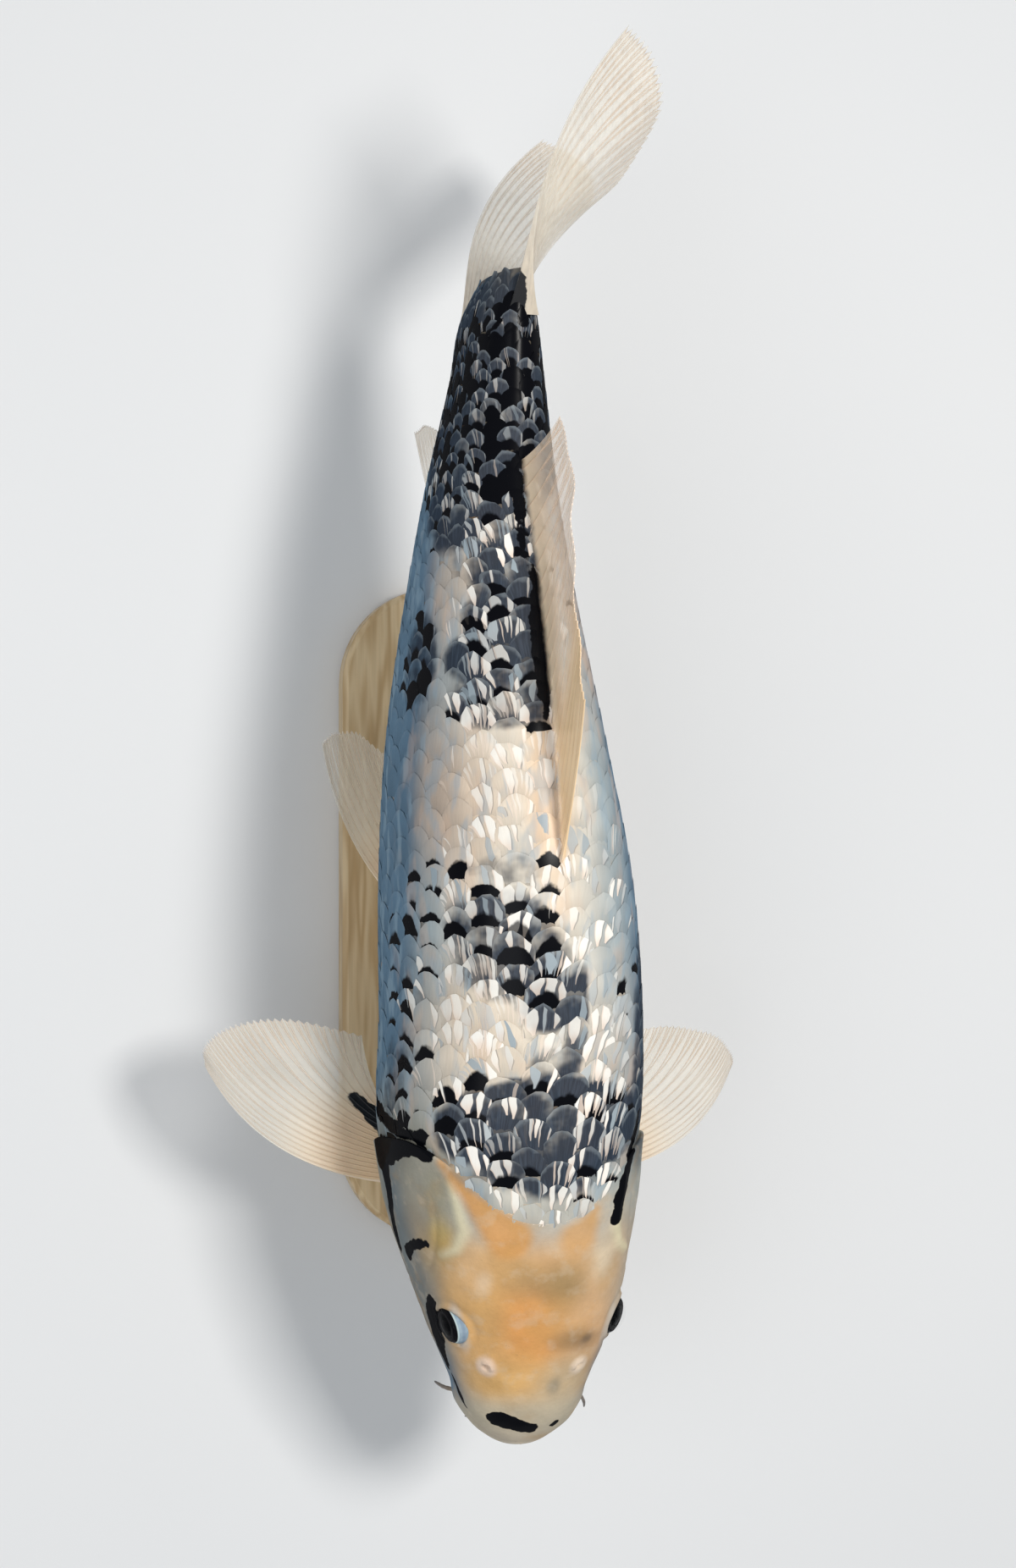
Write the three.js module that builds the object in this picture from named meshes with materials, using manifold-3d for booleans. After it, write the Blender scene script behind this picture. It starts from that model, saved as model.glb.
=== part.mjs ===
// A life-size koi carp, swimming level, on a plain display stand.
// Millimetres, +Z up. The head points towards -Y and the fish's left side is +X.
// The origin is the middle of the stand's underside, which rests on the floor.
import * as THREE from "three";
import Module from "manifold-3d";

const wasm = await Module();
wasm.setup();

// ---------------------------------------------------------------- driving dimensions

const BODY_LENGTH = 513; // snout to the root of the tail fin
const SNOUT_Y = -237; // where the snout is along the stand
const AXIS_HEIGHT = 145; // the body's long axis above the floor
const CUT = 0.35; // clear gap between neighbouring pieces
const FLATNESS = 0.02; // bumps smaller than this are smoothed away
const SIDES = { left: 1, right: -1 };

const NOSE_SHARE = 0.05; // the rounded snout's share of the body length
const BODY_END = 1.03; // the scaled part of the tail stalk ends here, as a share of the body length
const RING_POINTS = 30;
const NOSE_RINGS = 5;
const BODY_RINGS = 32;

// The body's cross-sections. at: share of the body length from the snout. half: half-width.
// top, bottom and level: heights of the back, the belly and the widest line from the axis.
// square: 2 is an ellipse, more is squarer. bend: how far the spine lies to the fish's left.
// roll: turn of the section about the spine, in degrees, with the back towards the fish's left.
const SECTIONS = [
  { at: 0.0, half: 24.5, top: 5, bottom: -34, level: -15, square: 2.3, bend: 10, roll: 0 },
  { at: 0.05, half: 29.5, top: 16, bottom: -40, level: -12, square: 2.5, bend: 8, roll: 0 },
  { at: 0.11, half: 41, top: 32.5, bottom: -49, level: -8, square: 2.65, bend: 6.5, roll: 0 },
  { at: 0.19, half: 52, top: 51, bottom: -60, level: -6, square: 2.5, bend: 3, roll: 0 },
  { at: 0.27, half: 58.5, top: 63, bottom: -68, level: -5, square: 2.3, bend: 1, roll: 0 },
  { at: 0.38, half: 58, top: 73, bottom: -75, level: -4, square: 2.2, bend: 1.5, roll: 1 },
  { at: 0.5, half: 54.5, top: 76.5, bottom: -76, level: -2, square: 2.15, bend: -1.5, roll: 4 },
  { at: 0.62, half: 46, top: 70, bottom: -68, level: 0, square: 2.1, bend: -6.5, roll: 7.5 },
  { at: 0.74, half: 36, top: 57, bottom: -54, level: 0, square: 2.05, bend: -9, roll: 8.5 },
  { at: 0.86, half: 27.5, top: 41, bottom: -39.5, level: 0, square: 2, bend: -8, roll: 5 },
  { at: 0.94, half: 20.5, top: 35, bottom: -33.5, level: 0, square: 2, bend: -5.5, roll: 3 },
  { at: 1.0, half: 15, top: 35, bottom: -34.5, level: 0, square: 2, bend: -4.5, roll: 1 },
  { at: BODY_END, half: 9, top: 34, bottom: -33.5, level: 0, square: 2, bend: -2.5, roll: 0 },
];

// The gill opening is an arc of this ellipse, seen from the side.
const GILL = { at: 0.124, z: -4, along: 76, high: 70 };
// The gill cover's plate is the part of this ellipse in front of the gill opening.
const COVER = { at: 0.238, z: -8, along: 47, high: 45, thick: 5 };
// The mouth's slit, from the lips to its corner, and the lower jaw behind it.
const MOUTH = { lipZ: -15, cornerAt: 0.05, cornerZ: -22, jawAt: 0.1 };
const EYE = { at: 0.1155, z: 14, radius: 9, proud: 4.4 };
const NOSTRIL = { at: 0.0725, x: 21.5, radius: 2.6 };

const TRUNK_CUT = 0.45; // front trunk ends
const STALK_CUT = 0.78; // tail stalk begins

const BASE = { length: 320, width: 96, height: 14, edge: 2.5 };
const RODS = { radius: 4, footRadius: 10, footHeight: 4, frontAt: 0.33, rearAt: 0.6 };

// ---------------------------------------------------------------- finishes

/** A plain finish. */
function finish(color, roughness, metalness = 0) {
  return new THREE.MeshStandardMaterial({ color, roughness, metalness });
}

const HEAD_SKIN = finish(0xe2a868, 0.35);
const JAW_SKIN = finish(0xd8d2c4, 0.35);
const SCALY_SKIN = finish(0xcfc9bd, 0.3);
const DARK_SKIN = finish(0x4b4c52, 0.3);
const FIN_MEMBRANE = finish(0xe3cdb4, 0.4);
const EYE_FINISH = finish(0x15161a, 0.08);
const BARBEL_SKIN = finish(0x8d867b, 0.4);
const BASE_WOOD = finish(0xd9c7a5, 0.55);
const ROD_STEEL = finish(0xb8babd, 0.3, 1);

// ---------------------------------------------------------------- solids

/** A closed surface through rings of equal length, with a fan over each end. */
function loft(rings) {
  const points = rings.flat();
  const n = rings[0].length;
  const last = (rings.length - 1) * n;
  const triangles = [];
  for (let j = 0; j + 1 < rings.length; j++) {
    for (let i = 0; i < n; i++) {
      const a = j * n + i;
      const b = j * n + ((i + 1) % n);
      triangles.push(a, b, b + n, a, b + n, a + n);
    }
  }
  const front = points.push(centreOf(rings[0])) - 1;
  const back = points.push(centreOf(rings.at(-1))) - 1;
  for (let i = 0; i < n; i++) {
    const next = (i + 1) % n;
    triangles.push(front, next, i, back, last + i, last + next);
  }
  return closedSolid(points, triangles);
}

/** The mean of a ring's points. */
function centreOf(ring) {
  const sum = ring.reduce((total, p) => total.add(p), new THREE.Vector3());
  return sum.divideScalar(ring.length);
}

/** The solid of points and triangles, turned right side out if it comes inside out. */
function closedSolid(points, triangles) {
  const vertProperties = new Float32Array(points.flatMap((p) => [p.x, p.y, p.z]));
  const made = (triVerts) =>
    new wasm.Manifold(new wasm.Mesh({ numProp: 3, vertProperties, triVerts }));
  const solid = made(new Uint32Array(triangles));
  if (solid.volume() > 0) return solid;
  return made(new Uint32Array(triangles).reverse());
}

/** The solid of a three.js geometry that is one closed surface. */
function solidOf(geometry) {
  const flat = geometry.index ? geometry.toNonIndexed() : geometry;
  const seen = new Map();
  const points = [];
  const triangles = [];
  const place = flat.getAttribute("position");
  for (let i = 0; i < place.count; i++) {
    const p = new THREE.Vector3().fromBufferAttribute(place, i);
    const key = p.toArray().map((v) => Math.round(v * 1e4)).join(" ");
    if (!seen.has(key)) seen.set(key, points.push(p) - 1);
    triangles.push(seen.get(key));
  }
  const kept = [];
  for (let i = 0; i < triangles.length; i += 3) {
    const [a, b, c] = triangles.slice(i, i + 3);
    if (a !== b && b !== c && a !== c) kept.push(a, b, c);
  }
  return closedSolid(points, kept);
}

/** A named mesh of a solid. */
function piece(name, solid, material) {
  const { vertProperties, triVerts, numProp, numVert } = solid.simplify(FLATNESS).getMesh();
  const position = new Float32Array(numVert * 3);
  for (let i = 0; i < numVert; i++) {
    position.set(vertProperties.subarray(i * numProp, i * numProp + 3), i * 3);
  }
  const geometry = new THREE.BufferGeometry();
  geometry.setAttribute("position", new THREE.BufferAttribute(position, 3));
  geometry.setIndex(new THREE.BufferAttribute(triVerts, 1));
  geometry.computeVertexNormals();
  const mesh = new THREE.Mesh(geometry, material);
  mesh.name = name;
  return mesh;
}

// ---------------------------------------------------------------- the body's form

/** A point given by its distance to the fish's left, its share of the body length and its height. */
function spot(x, at, z) {
  return new THREE.Vector3(x, SNOUT_Y + at * BODY_LENGTH, AXIS_HEIGHT + z);
}

/** How steeply a measure runs at section i: the mean of its two sides, weighted to the nearer. */
function slopeAt(i, key) {
  const step = (k) => SECTIONS[k + 1].at - SECTIONS[k].at;
  const rise = (k) => (SECTIONS[k + 1][key] - SECTIONS[k][key]) / step(k);
  if (i === 0) return rise(0);
  if (i === SECTIONS.length - 1) return rise(i - 1);
  return (rise(i) * step(i - 1) + rise(i - 1) * step(i)) / (step(i - 1) + step(i));
}

/** A measure of the body at a share of its length, on a smooth curve through the sections. */
function measure(at, key) {
  let i = 0;
  while (i < SECTIONS.length - 2 && at > SECTIONS[i + 1].at) i++;
  const [from, to] = [SECTIONS[i], SECTIONS[i + 1]];
  const span = to.at - from.at;
  const t = THREE.MathUtils.clamp((at - from.at) / span, 0, 1);
  const [t2, t3] = [t * t, t * t * t];
  return (
    from[key] * (2 * t3 - 3 * t2 + 1) +
    to[key] * (3 * t2 - 2 * t3) +
    slopeAt(i, key) * span * (t3 - 2 * t2 + t) +
    slopeAt(i + 1, key) * span * (t3 - t2)
  );
}

/** A point on the skin. angle is 0 on the back, a quarter turn on the fish's left. grow pads it. */
function skinPoint(at, angle, grow = 0) {
  const nose = at < NOSE_SHARE ? Math.sqrt(1 - (1 - Math.max(at, 0) / NOSE_SHARE) ** 2) : 1;
  const power = 2 / measure(at, "square");
  const bulge = (v) => Math.sign(v) * Math.abs(v) ** power;
  const level = measure(at, "level");
  const up = Math.cos(angle) > 0;
  const reach = up ? measure(at, "top") - level : level - measure(at, "bottom");
  const x = (measure(at, "half") * nose + grow) * bulge(Math.sin(angle));
  const z = (reach * nose + grow) * bulge(Math.cos(angle));
  const roll = THREE.MathUtils.degToRad(measure(at, "roll"));
  return spot(
    measure(at, "bend") + x * Math.cos(roll) + (z + level) * Math.sin(roll),
    at,
    (z + level) * Math.cos(roll) - x * Math.sin(roll),
  );
}

/** The whole body from snout to tail stalk as one solid, padded by grow. */
function bodySolid(grow = 0) {
  const places = [];
  for (let i = 1; i <= NOSE_RINGS; i++) {
    places.push(NOSE_SHARE * (1 - Math.cos((i / NOSE_RINGS) * (Math.PI / 2))));
  }
  for (let i = 1; i <= BODY_RINGS; i++) {
    places.push(NOSE_SHARE + ((BODY_END - NOSE_SHARE) * i) / BODY_RINGS);
  }
  const ring = (at) =>
    Array.from({ length: RING_POINTS }, (_, i) => skinPoint(at, (2 * Math.PI * i) / RING_POINTS, grow));
  const rings = places.map(ring);
  const tip = rings[0].map((p) => p.clone().lerp(spot(measure(0, "bend"), -grow / BODY_LENGTH, -15), 0.6));
  tip.forEach((p) => (p.y = spot(0, 0, 0).y - grow + 0.3));
  const end = rings.at(-1).map((p) => p.clone().add(new THREE.Vector3(0, grow, 0)));
  return loft([tip, ...rings, ...(grow > 0 ? [end] : [])]);
}

/** A slab right across the fish, of the outline drawn in the (y, z) plane. */
function slabAcross(outline) {
  const width = 400;
  const geometry = new THREE.ExtrudeGeometry(outline, {
    depth: width,
    bevelEnabled: false,
    curveSegments: 14,
  });
  // The outline's x becomes y, its y becomes z, and the depth runs along x.
  const turn = new THREE.Matrix4().makeBasis(
    new THREE.Vector3(0, 1, 0),
    new THREE.Vector3(0, 0, 1),
    new THREE.Vector3(1, 0, 0),
  );
  geometry.applyMatrix4(turn);
  geometry.translate(-width / 2, 0, 0);
  return solidOf(geometry);
}

/** An ellipse round a spot in the (y, z) plane, padded by grow. */
function ellipseOutline({ at, z, along, high }, grow = 0) {
  const centre = spot(0, at, z);
  return new THREE.Shape().absellipse(centre.y, centre.z, along + grow, high + grow, 0, 2 * Math.PI);
}

/** The outline of everything in front of the gill opening. */
function headSlab(grow) {
  const outline = new THREE.Shape();
  const centre = spot(0, GILL.at, GILL.z);
  const front = spot(0, -0.2, 0).y;
  const high = GILL.high + grow;
  outline.moveTo(front, centre.z - high);
  outline.lineTo(centre.y, centre.z - high);
  outline.absellipse(centre.y, centre.z, GILL.along + grow, high, -Math.PI / 2, Math.PI / 2);
  outline.lineTo(front, centre.z + high);
  return slabAcross(outline);
}

/** The box between two opposite corners. */
function boxBetween(low, high) {
  const size = high.clone().sub(low);
  const geometry = new THREE.BoxGeometry(size.x, size.y, size.z);
  const middle = low.clone().add(high).multiplyScalar(0.5);
  return solidOf(geometry.translate(middle.x, middle.y, middle.z));
}

/** Everything between two shares of the body length. */
function stretch(from, to) {
  return boxBetween(spot(-200, from, -150), spot(200, to, 150));
}

// ---------------------------------------------------------------- head

/** The space that a gill cover fills on one side, padded by grow. side is 1 on the fish's left. */
function coverSpace(side, grow) {
  const low = spot(side > 0 ? 6 - grow : -120, 0, -120);
  const high = spot(side > 0 ? 120 : -6 + grow, 0.35, 120);
  const plate = slabAcross(ellipseOutline(COVER, grow));
  return boxBetween(low, high).intersect(plate).subtract(bodySolid(-COVER.thick - grow));
}

/** The space below and behind the mouth's slit that the lower jaw fills, padded by grow. */
function jawSpace(grow) {
  const outline = new THREE.Shape();
  const corners = [
    spot(0, -0.1, MOUTH.lipZ + 4 + grow),
    spot(0, MOUTH.cornerAt, MOUTH.cornerZ + grow),
    spot(0, MOUTH.jawAt, MOUTH.cornerZ - 8 + grow),
    spot(0, MOUTH.jawAt, -110),
    spot(0, -0.1, -110),
  ];
  corners.forEach((p, i) => (i ? outline.lineTo(p.y, p.z) : outline.moveTo(p.y, p.z)));
  const slab = slabAcross(outline);
  return grow > 0 ? slab.add(slab.translate(0, grow, 0)) : slab;
}

/** The angle round the section at which the skin of one side has this height. */
function angleAtHeight(at, z) {
  let [low, high] = [0, Math.PI];
  for (let i = 0; i < 40; i++) {
    const middle = (low + high) / 2;
    if (skinPoint(at, middle).z > AXIS_HEIGHT + z) low = middle;
    else high = middle;
  }
  return (low + high) / 2;
}

/** The skin's outward direction. */
function skinNormal(at, angle) {
  const [da, dt] = [0.002, 0.01];
  const along = skinPoint(at + da, angle).sub(skinPoint(at - da, angle));
  const round = skinPoint(at, angle + dt).sub(skinPoint(at, angle - dt));
  return round.cross(along).normalize();
}

/** One eye as a ball that stands a little proud of the skin, padded by grow. */
function eyeBall(side, grow) {
  const angle = side * angleAtHeight(EYE.at, EYE.z);
  const outward = skinNormal(EYE.at, angle);
  const centre = skinPoint(EYE.at, angle).addScaledVector(outward, EYE.proud - EYE.radius);
  const ball = new THREE.SphereGeometry(EYE.radius + grow, 16, 10);
  return solidOf(ball.translate(centre.x, centre.y, centre.z));
}

/** The ball whose lower half hollows one nostril out of the skin. */
function nostrilPit(side) {
  const x = side * NOSTRIL.x;
  let angle = 0;
  while (Math.abs(skinPoint(NOSTRIL.at, angle).x - measure(NOSTRIL.at, "bend")) < Math.abs(x)) {
    angle += side * 0.01;
  }
  const centre = skinPoint(NOSTRIL.at, angle);
  const ball = new THREE.SphereGeometry(NOSTRIL.radius, 8, 6);
  return solidOf(ball.translate(centre.x, centre.y, centre.z));
}

/** The skull, the lower jaw, the gill covers and the eyes. */
function headPieces(body) {
  const head = body.intersect(headSlab(0));
  let skull = head.subtract(jawSpace(CUT));
  const made = [piece("lower_jaw", head.intersect(jawSpace(0)), JAW_SKIN)];
  for (const [name, side] of Object.entries(SIDES)) {
    skull = skull.subtract(coverSpace(side, CUT));
    skull = skull.subtract(eyeBall(side, CUT));
    skull = skull.subtract(nostrilPit(side));
    made.push(piece("gill_cover_" + name, head.intersect(coverSpace(side, 0)), JAW_SKIN));
    made.push(piece("eye_" + name, eyeBall(side, 0), EYE_FINISH));
  }
  made.push(piece("head", skull, HEAD_SKIN));
  return made;
}

// ---------------------------------------------------------------- barbels

/** A feeler: a tapering round rod along a bent path, cut off at the skin. */
function barbel(points, thickness, grownBody) {
  const path = new THREE.QuadraticBezierCurve3(...points);
  const steps = 6;
  const sides = 8;
  const frames = path.computeFrenetFrames(steps);
  const rings = Array.from({ length: steps + 1 }, (_, j) => {
    const radius = (thickness / 2) * (1 - 0.55 * (j / steps));
    return Array.from({ length: sides }, (_, i) => {
      const turn = (2 * Math.PI * i) / sides;
      return path
        .getPointAt(j / steps)
        .addScaledVector(frames.normals[j], radius * Math.cos(turn))
        .addScaledVector(frames.binormals[j], radius * Math.sin(turn));
    });
  });
  return loft(rings).subtract(grownBody);
}

// The short pair grows from the upper lip and the long pair from the corners of the mouth.
// Each starts at (x, at, z), reaches out by out, drops by drop and ends along it by sweep.
const BARBELS = {
  barbel_front_left: { x: 17, at: 0.024, z: -16, out: 8, sweep: -0.006, drop: 9, thick: 1.8 },
  barbel_front_right: { x: -17, at: 0.024, z: -16, out: -6, sweep: -0.003, drop: 9, thick: 1.8 },
  barbel_rear_left: { x: 24, at: 0.042, z: -20, out: 13, sweep: -0.022, drop: 13, thick: 2.6 },
  barbel_rear_right: { x: -24, at: 0.046, z: -20, out: -10, sweep: 0.004, drop: 15, thick: 2.6 },
};

/** The four feelers round the mouth. */
function barbelPieces(grownBody) {
  return Object.entries(BARBELS).map(([name, b]) => {
    const x = measure(b.at, "bend") + b.x;
    const points = [
      spot(x - b.out / 4, b.at, b.z),
      spot(x + b.out * 0.8, b.at, b.z - b.drop * 0.1),
      spot(x + b.out, b.at + b.sweep, b.z - b.drop),
    ];
    return piece(name, barbel(points, b.thick, grownBody), BARBEL_SKIN);
  });
}

// ---------------------------------------------------------------- fins

/**
 * A fin as a thin closed blade. place(r, t) gives its middle surface: r runs from 0 at the leading
 * ray to 1 at the last one, and t from 0 at the root to 1 at the edge.
 */
function blade({ place, rays, steps, rootThick, tipThick }) {
  const points = [];
  const width = rays + 1;
  const sheet = width * (steps + 1);
  for (const side of [1, -1]) {
    for (let j = 0; j <= steps; j++) {
      for (let i = 0; i <= rays; i++) {
        const [r, t] = [i / rays, j / steps];
        const across = place(Math.min(r + 0.01, 1), t).sub(place(Math.max(r - 0.01, 0), t));
        const out = place(r, Math.min(t + 0.01, 1)).sub(place(r, Math.max(t - 0.01, 0)));
        const normal = across.cross(out).normalize();
        const thick = tipThick + (rootThick - tipThick) * (1 - t) ** 5;
        points.push(place(r, t).addScaledVector(normal, (side * thick) / 2));
      }
    }
  }
  const triangles = [];
  const quad = (a, b, c, d) => triangles.push(a, b, c, a, c, d);
  for (let j = 0; j < steps; j++) {
    for (let i = 0; i < rays; i++) {
      const a = j * width + i;
      quad(a, a + 1, a + 1 + width, a + width);
      quad(a + sheet, a + width + sheet, a + 1 + width + sheet, a + 1 + sheet);
    }
  }
  const rim = [];
  for (let i = 0; i < rays; i++) rim.push(i);
  for (let j = 0; j < steps; j++) rim.push(j * width + rays);
  for (let i = rays; i > 0; i--) rim.push(steps * width + i);
  for (let j = steps; j > 0; j--) rim.push(j * width);
  rim.forEach((a, k) => {
    const b = rim[(k + 1) % rim.length];
    quad(b, a, a + sheet, b + sheet);
  });
  return closedSolid(points, triangles);
}

/** A smooth curve through spots. */
function throughSpots(spots) {
  return new THREE.CatmullRomCurve3(spots.map((p) => spot(...p)), false, "catmullrom", 0.5);
}

/** Rays as plain bent lines from root(r) to edge(r), each pushed out by bow(r) at its middle. */
function bentRays(root, edge, bow) {
  return (r, t) => {
    const [from, to] = [root(r), edge(r)];
    const push = bow(r).multiplyScalar(2 * t * (1 - t));
    return from.lerp(to, t).add(push);
  };
}

// Each paired fin's spots are those of the fish's left side, as [x, at, z]. The left and the right
// one are held a little differently: swept is how far each edge is carried towards the tail.
const PECTORAL = {
  root: [[45, 0.228, -41], [44, 0.288, -49]],
  edge: [[126, 0.329, -57], [126, 0.346, -58], [114, 0.363, -58], [88, 0.369, -56], [53, 0.353, -53]],
  bow: new THREE.Vector3(20, -20, 7),
  swept: { left: [0, -0.008, 0], right: [3, 0.006, 0] },
};
const PELVIC = {
  root: [[36, 0.475, -60], [17, 0.512, -70]],
  edge: [[68, 0.624, -86], [61, 0.634, -89], [48, 0.632, -92], [33, 0.606, -92]],
  bow: new THREE.Vector3(11, -9, -4),
  swept: { left: [0, 0, 0], right: [0, 0, 0] },
};

/** A fin of one side, with its root sunk in the body. */
function pairedFin(form, name, grownBody, shape) {
  const flip = new THREE.Vector3(SIDES[name], 1, 1);
  const roots = form.root.map((p) => spot(...p));
  const edge = throughSpots(form.edge.map((p) => p.map((v, k) => v + form.swept[name][k])));
  const place = bentRays(
    (r) => roots[0].clone().lerp(roots[1], r),
    (r) => edge.getPoint(r),
    (r) => form.bow.clone().multiplyScalar(1 - 0.8 * r),
  );
  return blade({ place: (r, t) => place(r, t).multiply(flip), ...shape }).subtract(grownBody);
}

/** The dorsal fin, half lowered, stands on the ridge of the back and leans to the fish's left. */
const DORSAL = {
  from: 0.503,
  to: 0.862,
  edge: [[5, 0.655, 106], [4, 0.72, 98], [5, 0.79, 88], [8, 0.85, 77], [6, 0.896, 64]],
};
/** The anal fin hangs under the tail stalk and leans to the fish's right. */
const ANAL = {
  from: 0.772,
  to: 0.838,
  edge: [[-24, 0.912, -82], [-20, 0.917, -74], [-14, 0.905, -62]],
};

/** A fin on the line at this angle round the body, with its root sunk in it. */
function ridgeFin(form, angle, sunk, grownBody, shape) {
  const edge = throughSpots(form.edge);
  const root = (r) => {
    const at = THREE.MathUtils.lerp(form.from, form.to, r);
    return skinPoint(at, angle).addScaledVector(skinNormal(at, angle), -sunk);
  };
  const bow = () => new THREE.Vector3(0, -3, Math.cos(angle) * 3);
  return blade({ place: bentRays(root, (r) => edge.getPoint(r), bow), ...shape }).subtract(grownBody);
}

// The two lobes of the tail fin swing to the fish's left and cup, with the fork leading.
const TAIL = {
  upper: {
    root: [[-2, 0.99, 33], [3, 1.0, 0.4]],
    edge: [[34, 1.224, 75], [47, 1.203, 69], [55, 1.163, 55], [48, 1.12, 27], [34, 1.094, 0.4]],
  },
  lower: {
    root: [[-9, 0.99, -33], [3, 1.0, -0.4]],
    edge: [[36, 1.184, -68], [47, 1.172, -61], [54, 1.145, -47], [47, 1.112, -25], [34, 1.094, -0.4]],
  },
  swing: [2.8, 1.4], // how late a leading ray and a middle ray swing out
};

/** One half of the tail fin. */
function tailLobe(form, grownBody) {
  const roots = form.root.map((p) => spot(...p));
  const edge = throughSpots(form.edge);
  const place = (r, t) => {
    const [from, to] = [roots[0].clone().lerp(roots[1], r), edge.getPoint(r)];
    const swing = t ** THREE.MathUtils.lerp(TAIL.swing[0], TAIL.swing[1], r);
    const x = THREE.MathUtils.lerp(from.x, to.x, swing);
    return from.lerp(to, t).setX(x);
  };
  return blade({ place, rays: 10, steps: 8, rootThick: 14, tipThick: 0.8 }).subtract(grownBody);
}

/** All eight fins, the tail's in two halves. */
function finPieces(grownBody) {
  const made = [];
  const add = (name, solid) => made.push(piece(name, solid, FIN_MEMBRANE));
  for (const name of Object.keys(SIDES)) {
    const wide = { rays: 10, steps: 6, rootThick: 8, tipThick: 0.8 };
    const small = { rays: 7, steps: 5, rootThick: 5, tipThick: 0.8 };
    add("pectoral_fin_" + name, pairedFin(PECTORAL, name, grownBody, wide));
    add("pelvic_fin_" + name, pairedFin(PELVIC, name, grownBody, small));
  }
  const long = { rays: 16, steps: 4, rootThick: 5, tipThick: 0.8 };
  const short = { rays: 6, steps: 4, rootThick: 5, tipThick: 0.8 };
  add("dorsal_fin", ridgeFin(DORSAL, 0, 4, grownBody, long));
  add("anal_fin", ridgeFin(ANAL, Math.PI, 4, grownBody, short));
  add("tail_fin_upper", tailLobe(TAIL.upper, grownBody));
  add("tail_fin_lower", tailLobe(TAIL.lower, grownBody));
  return made;
}

// ---------------------------------------------------------------- stand

/** A flat board with round ends and softened edges. */
function baseSolid() {
  const { length, width, height, edge } = BASE;
  const radius = width / 2 - edge;
  const straight = length / 2 - width / 2;
  const outline = new THREE.Shape();
  outline.absarc(0, straight, radius, 0, Math.PI);
  outline.absarc(0, -straight, radius, Math.PI, 2 * Math.PI);
  const geometry = new THREE.ExtrudeGeometry(outline, {
    depth: height - 2 * edge,
    bevelEnabled: true,
    bevelSize: edge,
    bevelThickness: edge,
    bevelSegments: 1,
    curveSegments: 12,
  });
  return solidOf(geometry.translate(0, 0, edge));
}

/** A round rod on a small foot, from the board up to the belly. */
function rodSolid(at, grownBody) {
  const { radius, footRadius, footHeight } = RODS;
  const bottom = BASE.height + CUT;
  const profile = [
    new THREE.Vector2(0, 0),
    new THREE.Vector2(footRadius, 0),
    new THREE.Vector2(footRadius, footHeight - 1),
    new THREE.Vector2(footRadius - 1, footHeight),
    new THREE.Vector2(radius, footHeight),
    new THREE.Vector2(radius, AXIS_HEIGHT - 30 - bottom),
    new THREE.Vector2(0, AXIS_HEIGHT - 30 - bottom),
  ];
  const geometry = new THREE.LatheGeometry(profile, 20).rotateX(Math.PI / 2);
  const foot = skinPoint(at, Math.PI);
  return solidOf(geometry.translate(foot.x, foot.y, bottom)).subtract(grownBody);
}

// ---------------------------------------------------------------- the whole part

const part = new THREE.Group();
const body = bodySolid();
const grownBody = bodySolid(CUT);

const trunk = body.subtract(headSlab(CUT));
const trim = CUT / 2 / BODY_LENGTH;
part.add(...headPieces(body));
part.add(piece("trunk_front", trunk.intersect(stretch(-0.1, TRUNK_CUT - trim)), SCALY_SKIN));
part.add(piece("trunk_rear", trunk.intersect(stretch(TRUNK_CUT + trim, STALK_CUT - trim)), SCALY_SKIN));
part.add(piece("tail_stalk", trunk.intersect(stretch(STALK_CUT + trim, 1.2)), DARK_SKIN));
part.add(...finPieces(grownBody));
part.add(...barbelPieces(grownBody));
part.add(piece("stand_base", baseSolid(), BASE_WOOD));
part.add(piece("stand_rod_front", rodSolid(RODS.frontAt, grownBody), ROD_STEEL));
part.add(piece("stand_rod_rear", rodSolid(RODS.rearAt, grownBody), ROD_STEEL));

export default part;
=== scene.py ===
"""A still, life-size koi carp on a plain display stand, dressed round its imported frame.

The fish is one closed skin with a coat of joined, overlapping scales, two eyes, four barbels and
eight fins. Lengths inside the classes are millimetres. A place on the body is (at, share): at is the
share of the body's length from the snout, and share is the share of the girth from the back's ridge,
up to 0.5 round the fish's left side and down to -0.5 round its right.
"""

import logging
import math
from collections.abc import Callable
from dataclasses import dataclass, field
from enum import Enum

import bpy
import numpy as np
from mathutils import Matrix, Vector


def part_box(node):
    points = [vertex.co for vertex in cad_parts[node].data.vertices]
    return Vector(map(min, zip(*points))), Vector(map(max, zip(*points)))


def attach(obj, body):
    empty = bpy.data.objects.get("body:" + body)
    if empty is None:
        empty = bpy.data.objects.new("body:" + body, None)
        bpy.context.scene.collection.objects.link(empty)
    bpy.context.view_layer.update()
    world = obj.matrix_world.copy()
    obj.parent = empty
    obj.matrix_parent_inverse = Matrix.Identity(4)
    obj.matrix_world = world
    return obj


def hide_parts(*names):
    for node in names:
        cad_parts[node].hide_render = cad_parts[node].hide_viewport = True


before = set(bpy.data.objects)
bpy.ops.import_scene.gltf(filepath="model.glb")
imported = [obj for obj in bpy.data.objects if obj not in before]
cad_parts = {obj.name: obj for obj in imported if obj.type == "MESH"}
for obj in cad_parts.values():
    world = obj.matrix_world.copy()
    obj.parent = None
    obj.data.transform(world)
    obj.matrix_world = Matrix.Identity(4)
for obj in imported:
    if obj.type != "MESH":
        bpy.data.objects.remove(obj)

MM = 0.001
BODY = "root"
# Scales' seeds are a whole number and a half over this, so that their materials can tell them apart.
SEEDS = 1024
# The depth in black of a place that is far from any.
NO_INK = -20.0
LOG = logging.getLogger("koi")
Array = np.ndarray
Ring = tuple[float, float, float]
Spots = tuple[Ring, ...]
Material = bpy.types.Material
# A fin's middle surface: points from shares of its rays and of its reach.
Sheet = Callable[[Array, Array], Array]
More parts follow.
